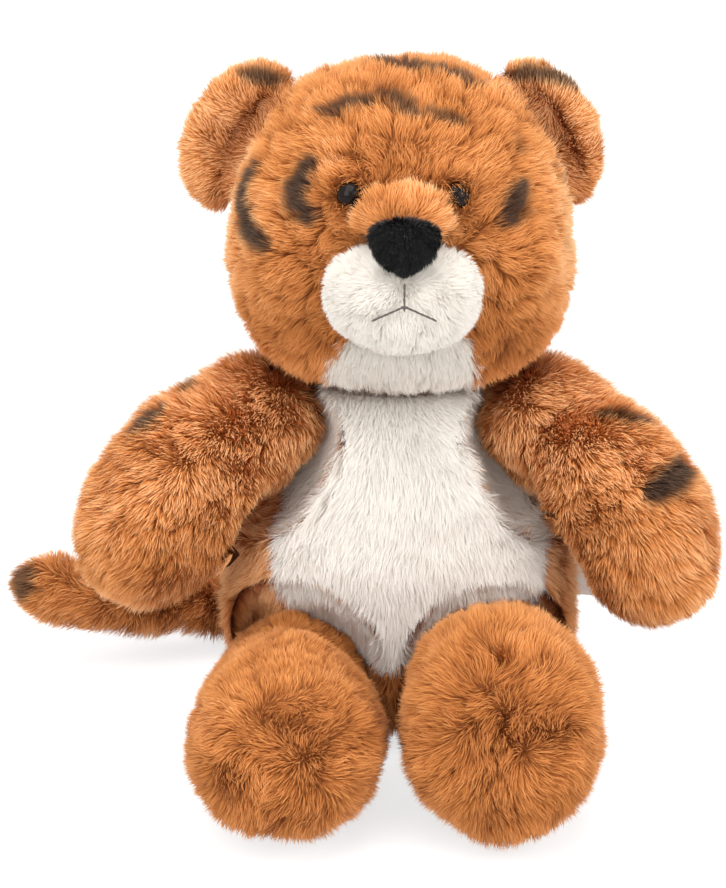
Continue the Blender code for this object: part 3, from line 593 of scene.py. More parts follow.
def blowUp(names, settings):
    # Cloth, stuffed by pressure and held near its own form by a cap on how far it may move.
    for name in names:
        cloth = skins[name].modifiers.new("stuffed", "CLOTH")
        cloth.settings.use_pressure = True
        cloth.settings.uniform_pressure_force = settings["pressure"]
        cloth.settings.effector_weights.gravity = 0
        cloth.settings.quality = 4
        cloth.collision_settings.use_collision = False
        cloth.point_cache.frame_start = 1
        cloth.point_cache.frame_end = settings["frames"]
    for step in range(1, settings["frames"] + 1):
        scene.frame_set(step)
    graph = bpy.context.evaluated_depsgraph_get()
    blown = {name: coordinates(skins[name].evaluated_get(graph).data) for name in names}
    for name in names:
        skin = skins[name]
        start = coordinates(skin.data)
        moved = blown[name] - start
        far = np.linalg.norm(moved, axis=1, keepdims=True)
        capped = moved * np.minimum(1, settings["farthest"] / np.maximum(far, 1e-9))
        skin.modifiers.clear()
        # The cap leaves the skin where it would be if it had swelled by the slack that it was drawn in.
        inward = coordinates(skin.data, True)
        along = (capped * inward).sum(1, keepdims=True)
        setCoordinates(skin.data, start + capped - inward * np.maximum(0, along - settings["smaller"] * 1.5))
    scene.frame_set(1)


blowUp(list(skins), skinSettings)
print("skins stuffed")

for skin in skins.values():
    finer = skin.modifiers.new("finer", "SUBSURF")
    finer.levels = finer.render_levels = 1
    baked(skin)

# Stuffing is never quite even: soft lumps, and on the head the cheeks, brows and eye hollows

def eyeCentre(side):
    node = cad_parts["left_eye" if side > 0 else "right_eye"]
    places = coordinates(node.data)
    toe, tilt = side * radians(14), radians(16)
    outward = np.array((sin(toe) * cos(tilt), -cos(toe) * cos(tilt), sin(tilt)))
    middle = (places.min(0) + places.max(0)) / 2
    top = (places @ outward).max()
    axisPoint = places.mean(0)
    return axisPoint + outward * (top - axisPoint @ outward - 5 * mm), outward


eyes = {side: eyeCentre(side) for side in (-1, 1)}

lumpSettings = {
    # body: (size, height) in millimetres
    "head": (24, 1.8),
    "torso": (30, 1.2),
    "left_arm": (20, 2.2),
    "right_arm": (20, 2.2),
    "left_leg": (20, 2.2),
    "right_leg": (20, 2.2),
    "tail": (18, 1.4),
    "left_ear": (14, 0.8),
    "right_ear": (14, 0.8),
    "muzzle": (16, 0.8),
    "bridge": (14, 0.6),
}
headForms = (
    # centre on the tiger's left, radius, push out; mirrored
    ((64, -12, 170), 24, 4.0),  # jowls
    ((45, -50, 203), 15, 7.5),  # cheeks
    ((24, -60, 263), 13, 2.5),  # brows
    ((40, -14, 268), 20, 3.0),
)
# The white belly's edge in the photograph's pixels
bellyEdge = (
    (322, 385), (312, 420), (293, 450), (278, 495), (268, 538), (269, 565), (273, 590), (285, 615), (314, 634),
    (348, 654), (385, 673), (420, 664), (475, 648), (526, 618), (545, 590), (549, 560), (548, 538), (542, 495),
    (528, 450), (515, 420), (506, 385),
)


def insideEdge(pixels, edge):
    # Counts the edges that lie to the right of each point.
    x, y = pixels.T
    inside = np.zeros(len(pixels), bool)
    for (x0, y0), (x1, y1) in zip(edge, edge[1:] + edge[:1]):
        if y0 != y1:
            crosses = (y0 > y) != (y1 > y)
            inside ^= crosses & (x < x0 + (x1 - x0) * (y - y0) / (y1 - y0))
    return inside


bellyForm = {"reach": (58 * mm, 46 * mm, 75 * mm), "height": 85 * mm, "most": 17.5 * mm}
armForms = (((64, -8, 143), 24, 7.0),)  # shoulders
eyeRim = {"radius": 7 * mm, "wide": 2.8 * mm, "high": 2.7 * mm}
innerArm = 3.5 * mm  # how far the arms are drawn back from the belly
rightLegTop = 5 * mm


def bulgeBelly(mesh):
    # The belly swells over the edges of the hollows in which the arms and legs lie.
    places = coordinates(mesh)
    x, y, z = places.T
    wide, deep, tall = bellyForm["reach"]
    front = -deep * np.sqrt(np.clip(1 - (x / wide) ** 2 - ((z - bellyForm["height"]) / tall) ** 2, 0, 1))
    facing = coordinates(mesh, True)[:, 1] < 0.4
    ahead = np.clip(y - front, 0, bellyForm["most"]) * (facing & insideEdge(pixelsOf(places), bellyEdge))
    places[:, 1] -= evened(mesh, ahead, 8)
    setCoordinates(mesh, places)
    relaxed(mesh, 4)


def shapeSkin(name):
    mesh = skins[name].data
    if name == "torso":
        bulgeBelly(mesh)
    places, outward = coordinates(mesh), coordinates(mesh, True)
    size, height = lumpSettings[name]
    offset = Vector((len(name) * 7.3, 1.7, 0))
    push = np.array([noise.noise(Vector(place) / (size * mm) + offset) for place in places]) * height * mm
    forms = headForms if name == "head" else armForms if name.endswith("_arm") else ()
    for (x, y, z), radius, out in forms:
        for side in (-1, 1):
            gap = np.linalg.norm(places - np.array((side * x, y, z)) * mm, axis=1)
            push += out * mm * np.exp(-((gap / (radius * mm)) ** 2))
    if name in ("head", "bridge"):
        for centre, ahead in eyes.values():
            gap = np.linalg.norm(places - centre, axis=1)
            push += eyeRim["high"] * np.exp(-(((gap - eyeRim["radius"]) / eyeRim["wide"]) ** 2))
    if name.endswith("_arm"):
        push -= atMost(mesh, innerArm * inward(name, places, outward), 0.25)
    if name == "right_leg":
        push -= atMost(mesh, rightLegTop * upward(outward), 0.25)
    setCoordinates(mesh, places + outward * push[:, None])


def inward(name, places, normals):
    # 1 where an arm faces the body's middle, below the shoulder
    side = 1 if name.startswith("left") else -1
    low = np.clip((132 * mm - places[:, 2]) / (18 * mm), 0, 1)
    return np.clip(-side * normals[:, 0] * 1.3, 0, 1) ** 0.8 * low


def upward(normals):
    return np.clip(normals[:, 2] * 1.3, 0, 1)


for name in lumpSettings:
    shapeSkin(name)


skinTrees = {name: treeOf(skin.data) for name, skin in skins.items()}


# Markings: soft stripes, laid where the lines of sight meet the skin, and in the same manner on the back

stripeLift = 4.5 * mm

seenStripes = {
    # body: rows of (points in the photograph's pixels, width in pixels, strength)
    "head": (
        (((303, 70), (330, 62), (357, 58), (400, 59), (440, 65), (466, 72), (486, 81)), 9, 0.9),
        (((316, 103), (345, 99), (374, 94)), 8, 0.9),
        (((380, 87), (402, 95), (422, 106)), 9, 0.85),
        (((431, 100), (452, 107), (476, 120)), 7, 0.75),
        (((300, 155), (288, 180), (288, 203), (306, 219)), 12, 1.0),
        (((251, 162), (240, 190), (240, 215), (250, 235), (264, 250)), 13, 1.0),
        (((530, 180), (522, 200), (513, 219)), 12, 0.95),
        (((520, 132), (527, 152)), 6, 0.4),
        (((553, 148), (565, 175), (569, 208)), 6, 0.55),
        (((568, 226), (566, 250)), 6, 0.5),
    ),
    "left_ear": ((((505, 78), (530, 68), (560, 70), (592, 88)), 9, 0.9),),
    "right_ear": ((((240, 67), (262, 72), (290, 81)), 9, 0.9),),
    "left_arm": (
        (((603, 414), (630, 415), (660, 424)), 8, 0.85),
        (((657, 497), (680, 482), (700, 462)), 13, 1.0),
    ),
    "right_arm": (
        (((178, 390), (190, 379), (200, 371)), 8, 0.8),
        (((154, 409), (140, 421), (124, 437)), 11, 0.95),
    ),
    "tail": ((((16, 594), (18, 580), (26, 568)), 17, 0.85),),
}


unseenStripes = {
    # body: rows of (points in millimetres near the skin, width in millimetres, strength), mirrored
    "torso": tuple((((7, 62, z), (26, 58, z - 1), (43, 46, z - 7)), 7, 0.95) for z in (134, 108, 82, 56)),
    "head": (
        (((6, 40, 262), (24, 36, 262), (40, 20, 258)), 6, 0.9),
        (((6, 52, 238), (28, 46, 237), (48, 30, 230)), 7, 0.95),
        (((6, 52, 208), (28, 48, 206), (52, 26, 198)), 7, 0.95),
    ),
}
tailStripes = {"places": (-48, -78, -108), "width": 8, "strength": 0.95, "from": 112, "to": 218}


def unseenRows(body):
    rows = []
    for corners, width, strength in unseenStripes.get(body, ()):
        for side in (-1, 1):
            rows.append(([(side * x, y, z) for x, y, z in corners], width, strength))
    if body == "tail":
        places = coordinates(skins["tail"].data)
        for x in tailStripes["places"]:
            ring = places[np.abs(places[:, 0] - x * mm) < 3 * mm] / mm
            middle, reach = ring.mean(0), (ring[:, 2].max() - ring[:, 2].min()) / 2
            turns = np.radians(np.linspace(tailStripes["from"], tailStripes["to"], 14))
            line = [(x, middle[1] - reach * cos(turn), middle[2] + reach * sin(turn)) for turn in turns]
            rows.append((line, tailStripes["width"], tailStripes["strength"]))
    return rows


def pileTop(name):
    # Where the pile's surface will lie, for laying stripes on.
    mesh = skins[name].data
    top = mesh.copy()
    setCoordinates(top, coordinates(mesh) + coordinates(mesh, True) * stripeLift)
    return treeOf(top)


topTrees = {name: pileTop(name) for name in ("head", "torso", "tail", "left_arm", "right_arm", "left_ear", "right_ear")}


def laidPoints(body, corners):
    # Points on the pile nearest to a line given in millimetres.
    found = []
    for first, second in zip(corners, corners[1:]):
        a, b = Vector(first) * mm, Vector(second) * mm
        count = max(1, int((b - a).length / (2 * mm)))
        for step in range(count):
            found.append(topTrees[body].find_nearest(a.lerp(b, step / count))[0])
    return found


def sightPoints(body, corners):
    # Points on the skin under a line drawn in the photograph.
    found = []
    for (x0, y0), (x1, y1) in zip(corners, corners[1:]):
        count = max(1, int(np.hypot(x1 - x0, y1 - y0) / 5))
        for step in range(count):
            share = step / count
            origin, aim = pixelRay(x0 + (x1 - x0) * share, y0 + (y1 - y0) * share)
            hit = topTrees[body].ray_cast(origin, aim)[0]
            if hit is None:  # a line that runs just over the edge is pulled on to it
                far = (Vector(cameraSettings["aim"]) - origin).length
                hit = topTrees[body].find_nearest(origin + aim * far)[0]
            found.append(hit)
    return found


def stripeMask(body, places):
    # How dark each place is, from 0 to 1.
    mask = np.zeros(len(places))
    rows = [(sightPoints(body, corners), width * 0.52, strength) for corners, width, strength in seenStripes.get(body, ())]
    rows += [(laidPoints(body, corners), width * 0.5, strength) for corners, width, strength in unseenRows(body)]
    for points, half, strength in rows:
        line = np.array([tuple(point) for point in points])
        gaps = np.sqrt(((places[:, None, :] - line[None]) ** 2).sum(2))
        nearest = gaps.argmin(1)
        taper = np.sin(pi * (0.12 + 0.76 * nearest / max(1, len(line) - 1))) ** 0.5
        edge = np.clip(1.4 - gaps.min(1) / (half * mm * taper), 0, 1)
        mask = np.maximum(mask, edge * edge * (3 - 2 * edge) * strength)
    return mask


def flat(vectors, normals):
    # The part of each vector that lies along the skin, at length one where there is any.
    level = vectors - normals * (vectors * normals).sum(1, keepdims=True)
    size = np.linalg.norm(level, axis=1, keepdims=True)
    return level / np.maximum(size, 1e-6) * np.clip(size * 4, 0, 1)


def away(places, point):
    spread = places - np.array(point) * mm
    return spread / np.linalg.norm(spread, axis=1, keepdims=True)


down = np.array((0.0, 0.0, -1.0))


noise.seed_set(7)  # without it the field would differ in each run


def swirl(places, size):
    # A smooth field of directions that wanders with this size in millimetres.
    field = [noise.noise_vector(Vector(place) / (size * mm)) for place in places]
    return np.array([tuple(direction) for direction in field]) * 1.6


def headFlow(places, normals):
    low = np.clip((205 * mm - places[:, 2:]) / (40 * mm), 0, 1)
    comb = flat(away(places, (0, -96, 222)) + down * 0.7 * low, normals)
    for centre, outward in eyes.values():  # strands by an eye lean in over its rim
        close = 1 - closeTo(places, centre, 5 * mm, 10 * mm)[:, None]
        comb = comb * (1 - close) + flat(np.array(centre) - places, normals) * close * 0.9
    return comb + flat(swirl(places, 16), normals) * 0.35


def muzzleFlow(places, normals):
    return flat(away(places, (0, -99, 213)) + down * 0.15, normals)


def torsoFlow(places, normals):
    return flat(swirl(places, 18) * 0.4 + down, normals)


def armFlow(side):
    def flow(places, normals):
        shoulder = np.array((side * 54, -13, 125)) * mm
        hand = np.array((side * 108, -45, 78)) * mm
        ahead = (hand - shoulder) / np.linalg.norm(hand - shoulder)
        return flat(ahead + down * 0.25 + swirl(places, 15) * 0.5, normals)

    return flow


def legFlow(side):
    def flow(places, normals):
        middle = np.array((side * 40 - 3, -150, 52 if side > 0 else 46)) * mm
        spread = places - middle
        spread[:, 1] = 0
        spread /= np.maximum(np.linalg.norm(spread, axis=1, keepdims=True), 1e-6)
        front = np.clip(-normals[:, 1:2], 0, 1)
        around = spread * (0.8 - 0.55 * front) + swirl(places, 15) * (0.45 + 0.2 * front)
        return flat(np.array((0, 0.7, 0)) * (1 - front) + around + down * 0.2, normals)

    return flow


def tailFlow(places, normals):
    return flat(np.array((-1.0, 0, -0.25)) + swirl(places, 15) * 0.5, normals)


def earFlow(side):
    return lambda places, normals: flat(away(places, (side * 46, 2, 226)) + swirl(places, 12) * 0.6, normals)


# Pile

pilePlan = {
    # long and short: strands on a square millimetre; length and width in millimetres
    "torso": {"flow": torsoFlow, "finish": tanPile, "length": 8.2, "seed": 11},
    "head": {"flow": headFlow, "finish": tanPile, "length": 8.0, "long": 1.6, "short": 4.4, "seed": 12, "tuft": 10, "pull": 0.22, "scatter": 0.28},
    # Muzzle: tone lowered to offset the strong front light on it: painted shade.
    "muzzle": {"flow": muzzleFlow, "finish": whitePile, "length": 3.8, "tone": -0.4, "long": 2.6, "short": 7, "seed": 13, "width": 0.34, "wave": 0.6, "hollow": 0.12},
    "bridge": {"flow": headFlow, "finish": tanPile, "length": 6.5, "long": 2.2, "short": 6, "seed": 14, "tone": 0.14},
    "nose": {"flow": torsoFlow, "finish": blackPile, "length": 2.4, "width": 0.3, "long": 3, "short": 6, "seed": 15, "tuft": 4},
    # Ears: tone raised so the shaded ear hollows read light: painted light.
    "left_ear": {"flow": earFlow(1), "finish": tanPile, "length": 5.4, "seed": 16, "tone": 0.62, "short": 5, "lean": 1.1, "wave": 0.5, "hollow": 0.1, "pull": 0.08},
    "right_ear": {"flow": earFlow(-1), "finish": tanPile, "length": 5.4, "seed": 17, "tone": 0.5, "short": 5, "lean": 1.1, "wave": 0.5, "hollow": 0.1, "pull": 0.08},
    # Arms: tone raised where the pile facing the camera reads dark: painted light.
    "left_arm": {"flow": armFlow(1), "finish": tanPile, "length": 8.2, "seed": 18, "tone": 0.22, "lean": 0.55, "wave": 0.45, "hollow": 0.12, "scatter": 0.16},
    "right_arm": {"flow": armFlow(-1), "finish": tanPile, "length": 8.2, "seed": 19, "tone": 0.22, "lean": 0.55, "wave": 0.45, "hollow": 0.12, "scatter": 0.16},
    "left_leg": {"flow": legFlow(1), "finish": tanPile, "length": 8.2, "seed": 20, "tone": -0.06},
    "right_leg": {"flow": legFlow(-1), "finish": tanPile, "length": 8.2, "seed": 21, "tone": -0.06},
    "tail": {"flow": tailFlow, "finish": tanPile, "length": 7.8, "seed": 22, "tone": 0.2},
    "belly": {"flow": torsoFlow, "finish": whitePile, "length": 7.8, "width": 0.3, "long": 1.9, "short": 5.6, "seed": 23, "tone": 0.22, "wave": 0.35, "hollow": 0.06, "pull": 0.06, "lean": 0.85},
    # Throat: tone lowered for the shade under the head: painted shade.
    "throat": {"flow": torsoFlow, "finish": whitePile, "length": 7.0, "width": 0.3, "long": 1.9, "short": 5.6, "seed": 24, "tone": -0.5, "wave": 0.5},
}


# Painted light and painted shade: the shoulders, head sides, brows and the torso's sides between arm and belly are
# lightened where they lie in shade; the cheeks by the muzzle and the undersides of the feet are darkened.
paintedLightSpots = {
    # body: (centre and radius in millimetres, how much lighter), painted light above 0 and painted shade below 0
    "left_arm": (((58, -20, 122), 34, 0.5),),
    "right_arm": (((-58, -20, 122), 34, 0.4),),
    "head": (
        ((38, -52, 178), 16, -0.25),
        ((-38, -52, 178), 16, -0.25),
        ((66, -20, 215), 28, 0.5),
        ((-66, -20, 215), 28, 0.4),
        ((27, -62, 254), 12, 0.5),
        ((-27, -62, 254), 12, 0.5),
    ),
    "torso": (((58, -20, 90), 42, 0.9), ((-58, -20, 90), 42, 0.9)),
    "left_leg": (((40, -110, 20), 30, -0.12),),
    "right_leg": (((-43, -110, 20), 30, -0.12),),
}


def shadeOf(name, places):
    shade = np.zeros(len(places))
    for centre, radius, lighter in paintedLightSpots.get(name, ()):
        gap = np.linalg.norm(places - np.array(centre) * mm, axis=1)
        shade += lighter * np.exp(-((gap / (radius * mm)) ** 2))
    return shade


def setAttribute(mesh, name, values, kind="FLOAT"):
    layer = mesh.attributes.new(name, kind, "POINT")
    layer.data.foreach_set("value" if kind == "FLOAT" else "vector", np.ascontiguousarray(values).ravel())


def distanceTo(nodeName, places):
    tree = treeOf(cadMesh((nodeName,)))
    return np.array([tree.find_nearest(Vector(place))[3] for place in places])


def closeTo(places, point, near, far):
    # 0 inside the near distance, rising to 1 at the far one
    gaps = np.linalg.norm(places - np.array(point), axis=1)
    return np.clip((gaps - near) / (far - near), 0, 1)


pileFaces = {}


def thinner(places, normals):
    # Fewer strands beneath, where the toy sits on them, and a few less behind.
    under = np.clip((-normals[:, 2] - 0.6) / 0.3, 0, 1) * np.clip((30 * mm - places[:, 2]) / (15 * mm), 0, 1)
    behind = np.clip(normals[:, 1], 0, 1)
    return (1 - 0.75 * under) * (1 - 0.25 * behind)


def growPile(name, skin, fill=1.0, lengthShare=1.0, body=None):
    plan = pilePlan[name]
    mesh = skin.data
    places, normals = coordinates(mesh), coordinates(mesh, True)
    comb = plan["flow"](places, normals)
    reach = places + (normals * 0.5 + comb * 0.5) * plan["length"] * mm
    setAttribute(mesh, "comb", comb, "FLOAT_VECTOR")
    setAttribute(mesh, "stripe", stripeMask(body or name, reach))
    setAttribute(mesh, "fill", fill * thinner(places, normals))
    # painted light and painted shade from the spots
    setAttribute(mesh, "shade", shadeOf(name, places))
    setAttribute(mesh, "lengthShare", np.ones(len(places)) * lengthShare)
    values = {
        "Long per Area": plan.get("long", 1.2) / (mm * mm),
        "Short per Area": plan.get("short", 3.6) / (mm * mm),
        "Length": plan["length"] * mm,
        "Width": plan.get("width", 0.38) * mm,
        "Lean": plan.get("lean", 0.65),
        "Tuft Size": plan.get("tuft", 8.0) * mm,
        "Tuft Pull": plan.get("pull", 0.15),
        "Hollow": plan.get("hollow", 0.22),
        "Wave": plan.get("wave", 0.75),
        "Scatter": plan.get("scatter", 0.22),
        "Tone": plan.get("tone", 0.0),
        "Seed": plan["seed"],
        "Finish": plan["finish"],
    }
    pile = skin.modifiers.new("pile", "NODES")
    pile.node_group = pileTree
    for item in pileTree.interface.items_tree:
        if item.item_type == "SOCKET" and item.in_out == "INPUT" and item.name in values:
            pile[item.identifier] = values[item.name]
    baked(skin)
    for layer in list(skin.data.attributes):
        if layer.name not in ("OFBake", "custom_normal") and not layer.is_internal and not layer.is_required:
            skin.data.attributes.remove(layer)
    skin.data.materials.clear()
    skin.data.materials.append(plan["finish"])
    corners = np.zeros(len(skin.data.polygons), int)
    skin.data.polygons.foreach_get("loop_total", corners)
    pileFaces[name] = int((corners - 2).sum())
    return skin


def finishPiece(piece, name, body, nodes):
    piece.name = name
    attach(piece, body)
    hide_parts(*nodes)


def panelFrom(skin, name, chosen, proud=0.5 * mm, thick=1.6 * mm):
    # A closed panel over the chosen vertices of a skin.
    sheet = bmesh.new()
    sheet.from_mesh(skin.data)
    sheet.verts.ensure_lookup_table()
    outward = coordinates(skin.data, True)
    gone = [face for face in sheet.faces if not all(chosen[v.index] for v in face.verts)]
    for vertex in sheet.verts:
        vertex.co += Vector(outward[vertex.index]) * proud
    bmesh.ops.delete(sheet, geom=gone, context="FACES")
    mesh = bpy.data.meshes.new(name)
    sheet.to_mesh(mesh)
    sheet.free()
    panel = addObject(name, mesh)
    wall = panel.modifiers.new("wall", "SOLIDIFY")
    wall.thickness = thick
    wall.offset = -1
    baked(panel)
    return panel


def makePanel(skinName, name, node, reach, edge=None):
    # The part of a skin that lies nearest the panel's solid, or inside an edge drawn from the camera.
    skin = skins[skinName]
    outward = coordinates(skin.data, True)
    surface = coordinates(skin.data) + outward * skin["depth"]
    near = distanceTo(node, surface)
    chosen = (near < reach) & (near < distanceTo(skinPlan[skinName][0][0], surface) + 2.2 * mm)
    if edge:
        facing = (((np.array(camera.location) - surface) * outward).sum(1) > 0) & (surface[:, 1] < 4 * mm)
        chosen = (chosen & (surface[:, 2] > 130 * mm)) | (facing & insideEdge(pixelsOf(surface), edge))
    return panelFrom(skin, name, chosen), chosen


bellyPanel, bellyPart = makePanel("torso", "bellySkin", "belly_panel", 6 * mm, bellyEdge)
throatPanel, throatPart = makePanel("head", "throatSkin", "throat_panel", 6 * mm)


def outerFill(panel, skinName):
    # Only the panel's outside grows a pile.
    places, normals = coordinates(panel.data), coordinates(panel.data, True)
    fill = np.zeros(len(places))
    for index, (place, normal) in enumerate(zip(places, normals)):
        hit, out, face, gap = skinTrees[skinName].find_nearest(Vector(place))
        outside = (Vector(place) - hit).dot(out) > -0.2 * mm
        fill[index] = 1.0 if outside and Vector(normal).dot(out) > 0.2 else 0.0
    return fill


headPlaces = coordinates(skins["head"].data)
headFill = np.where(throatPart, 0.0, 1.0)
headLength = 0.62 + 0.38 * closeTo(headPlaces, (0, -70 * mm, 222 * mm), 18 * mm, 62 * mm)
for centre, outward in eyes.values():
    headFill = headFill * closeTo(headPlaces, centre, 2.4 * mm, 3.2 * mm)
    headLength = headLength * (1.3 - 0.3 * closeTo(headPlaces, centre, 5 * mm, 10 * mm))
growPile("head", skins["head"], headFill, headLength)
growPile("throat", throatPanel, outerFill(throatPanel, "head"))
growPile("torso", skins["torso"], np.where(bellyPart, 0.0, 1.0))
growPile("belly", bellyPanel, outerFill(bellyPanel, "torso"))
bridgePlaces = coordinates(skins["bridge"].data)
bridgeLength = np.ones(len(bridgePlaces))
bridgeFill = np.ones(len(bridgePlaces))
for centre, outward in eyes.values():
    bridgeFill = bridgeFill * closeTo(bridgePlaces, centre, 3.4 * mm, 4.2 * mm)
    bridgeLength = bridgeLength * (0.8 + 0.2 * closeTo(bridgePlaces, centre, 5 * mm, 10 * mm))
growPile("bridge", skins["bridge"], bridgeFill, bridgeLength)
mouthSettings = {
    "nose foot": 207.8 * mm,
    "drop": 7 * mm,
    "half width": 10.5 * mm,
    "fall": 5 * mm,
    "curve": 1.3,
    "radius": 0.42 * mm,
    "stitch": 3.0 * mm,
    "sunk": 0.0 * mm,  # below the muzzle's pile surface
}


def mouthLines(settings):
    # The drop from the nose and both branches, laid on the muzzle from straight ahead.
    fork = settings["nose foot"] - settings["drop"]
    drop = [(0, fork + settings["drop"] * step / 8) for step in range(9)]
    lines = [drop]
    for side in (-1, 1):
        shares = [step / 12 for step in range(13)]
        fall = settings["fall"]
        lines.append([(side * settings["half width"] * s, fork - fall * s ** settings["curve"]) for s in shares])
    muzzle = treeOf(cadMesh(("muzzle",)))
    laid = []
    for line in lines:
        hits = [muzzle.ray_cast(Vector((x, -0.2, z)), Vector((0, 1, 0)))[0] for x, z in line]
        laid.append([hit + Vector((0, settings["sunk"], 0)) for hit in hits])
    return laid


mouthPaths = mouthLines(mouthSettings)
muzzlePlaces = coordinates(skins["muzzle"].data)
mouthPoints = np.array([tuple(point) for path in mouthPaths for point in path])
mouthGap = np.sqrt(((muzzlePlaces[:, None] - mouthPoints[None]) ** 2).sum(2)).min(1)
growPile("muzzle", skins["muzzle"], 1.0, 0.4 + 0.6 * np.clip((mouthGap - 2 * mm) / (3.5 * mm), 0, 1))
for name in ("nose", "left_ear", "right_ear", "left_leg", "tail"):
    growPile(name, skins[name])
for name in ("left_arm", "right_arm"):
    growPile(name, skins[name], 1.0, 1 - 0.45 * inward(name, coordinates(skins[name].data), coordinates(skins[name].data, True)))
growPile("right_leg", skins["right_leg"], 1.0, 1 - 0.4 * upward(coordinates(skins["right_leg"].data, True)))

finishPiece(skins["torso"], "torsoPlush", "torso", ("torso_cover", "torso_stuffing"))
finishPiece(bellyPanel, "bellyPlush", "torso", ("belly_panel",))
finishPiece(skins["head"], "headPlush", "head", ("head_cover", "head_stuffing"))
finishPiece(throatPanel, "throatPlush", "head", ("throat_panel",))
finishPiece(skins["muzzle"], "muzzlePlush", "head", ("muzzle",))
finishPiece(skins["bridge"], "bridgePlush", "head", ("muzzle_bridge",))
finishPiece(skins["nose"], "nosePlush", "head", ("nose",))
for side in ("left", "right"):
    ear, arm, leg = side + "_ear", side + "_arm", side + "_leg"
    finishPiece(skins[ear], side + "EarPlush", ear, (ear + "_back", ear + "_front"))
    finishPiece(skins[arm], side + "ArmPlush", arm, (arm + "_cover", arm + "_stuffing"))
    finishPiece(skins[leg], side + "LegPlush", leg, (leg + "_cover", leg + "_stuffing", side + "_sole"))
finishPiece(skins["tail"], "tailPlush", "tail", ("tail_cover", "tail_stuffing"))
print("soft pieces finished:", sum(pileFaces.values()), "triangles", pileFaces)


# Hard eyes

eyeSettings = {"radius": 5 * mm, "sides": 32, "rows": 12, "flat": 0.86}


def beadMaterial():
    material, graph, shader = newMaterial("black bead")
    place = graph.add("ShaderNodeTexCoord")["Object"]
    cloud = graph.add("ShaderNodeTexNoise", {}, {"Vector": place, "Scale": 400.0, "Detail": 2.0})[0]
    ramp = graph.add("ShaderNodeValToRGB", {"stops": ((0.0, (0.004, 0.003, 0.003)), (1.0, (0.012, 0.007, 0.005)))}, {"Fac": cloud})[0]
    graph.tree.links.new(ramp.socket, shader.inputs["Base Color"])
    rough = cloud * 0.06 + 0.09
    graph.tree.links.new(rough.socket, shader.inputs["Roughness"])
    setSockets(shader, {"Specular IOR Level": 0.14})
    return material


bead = beadMaterial()


def makeEye(side):
    centre, outward = eyes[side]
    turn = Vector(outward).to_track_quat("Z", "Y").to_matrix().to_4x4()
    rows, sides, radius = eyeSettings["rows"], eyeSettings["sides"], eyeSettings["radius"]
    ball = bmesh.new()
    bmesh.ops.create_uvsphere(ball, u_segments=sides, v_segments=rows * 2, radius=radius)
    for vertex in ball.verts:
        vertex.co.z *= eyeSettings["flat"] if vertex.co.z > 0 else 0.4
    bmesh.ops.transform(ball, matrix=Matrix.Translation(centre) @ turn, verts=ball.verts)
    mesh = bpy.data.meshes.new("bead")
    ball.to_mesh(mesh)
    ball.free()
    mesh.shade_smooth()
    mesh.materials.append(bead)
    name = "left" if side > 0 else "right"
    eye = addObject(name + "Eye", mesh)
    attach(eye, "head")
    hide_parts(name + "_eye")
    return eye


for side in (-1, 1):
    makeEye(side)
print("eyes made")


# Mouth: stitches that follow the lines

stitchInputs = {
    "Stitch": ("NodeSocketFloat", 2.6 * mm),
    "Radius": ("NodeSocketFloat", 0.42 * mm),
    "Seed": ("NodeSocketInt", 5),
    "Finish": ("NodeSocketMaterial", None),
}


def threadMaterial():
    material, graph, shader = newMaterial("dark thread")
    place = graph.add("ShaderNodeTexCoord")["Object"]
    twist = graph.add("ShaderNodeTexWave", {}, {"Vector": place, "Scale": 900.0, "Distortion": 2.0})["Color"]
    stops = ((0.0, (0.035, 0.026, 0.022)), (1.0, (0.11, 0.090, 0.078)))
    ramp = graph.add("ShaderNodeValToRGB", {"stops": stops}, {"Fac": twist})[0]
    graph.tree.links.new(ramp.socket, shader.inputs["Base Color"])
    bump = graph.add("ShaderNodeBump", {}, {"Strength": 0.3, "Distance": 0.1 * mm, "Height": twist})[0]
    graph.tree.links.new(bump.socket, shader.inputs["Normal"])
    setSockets(shader, {"Roughness": 0.6, "Sheen Weight": 0.2})
    return material


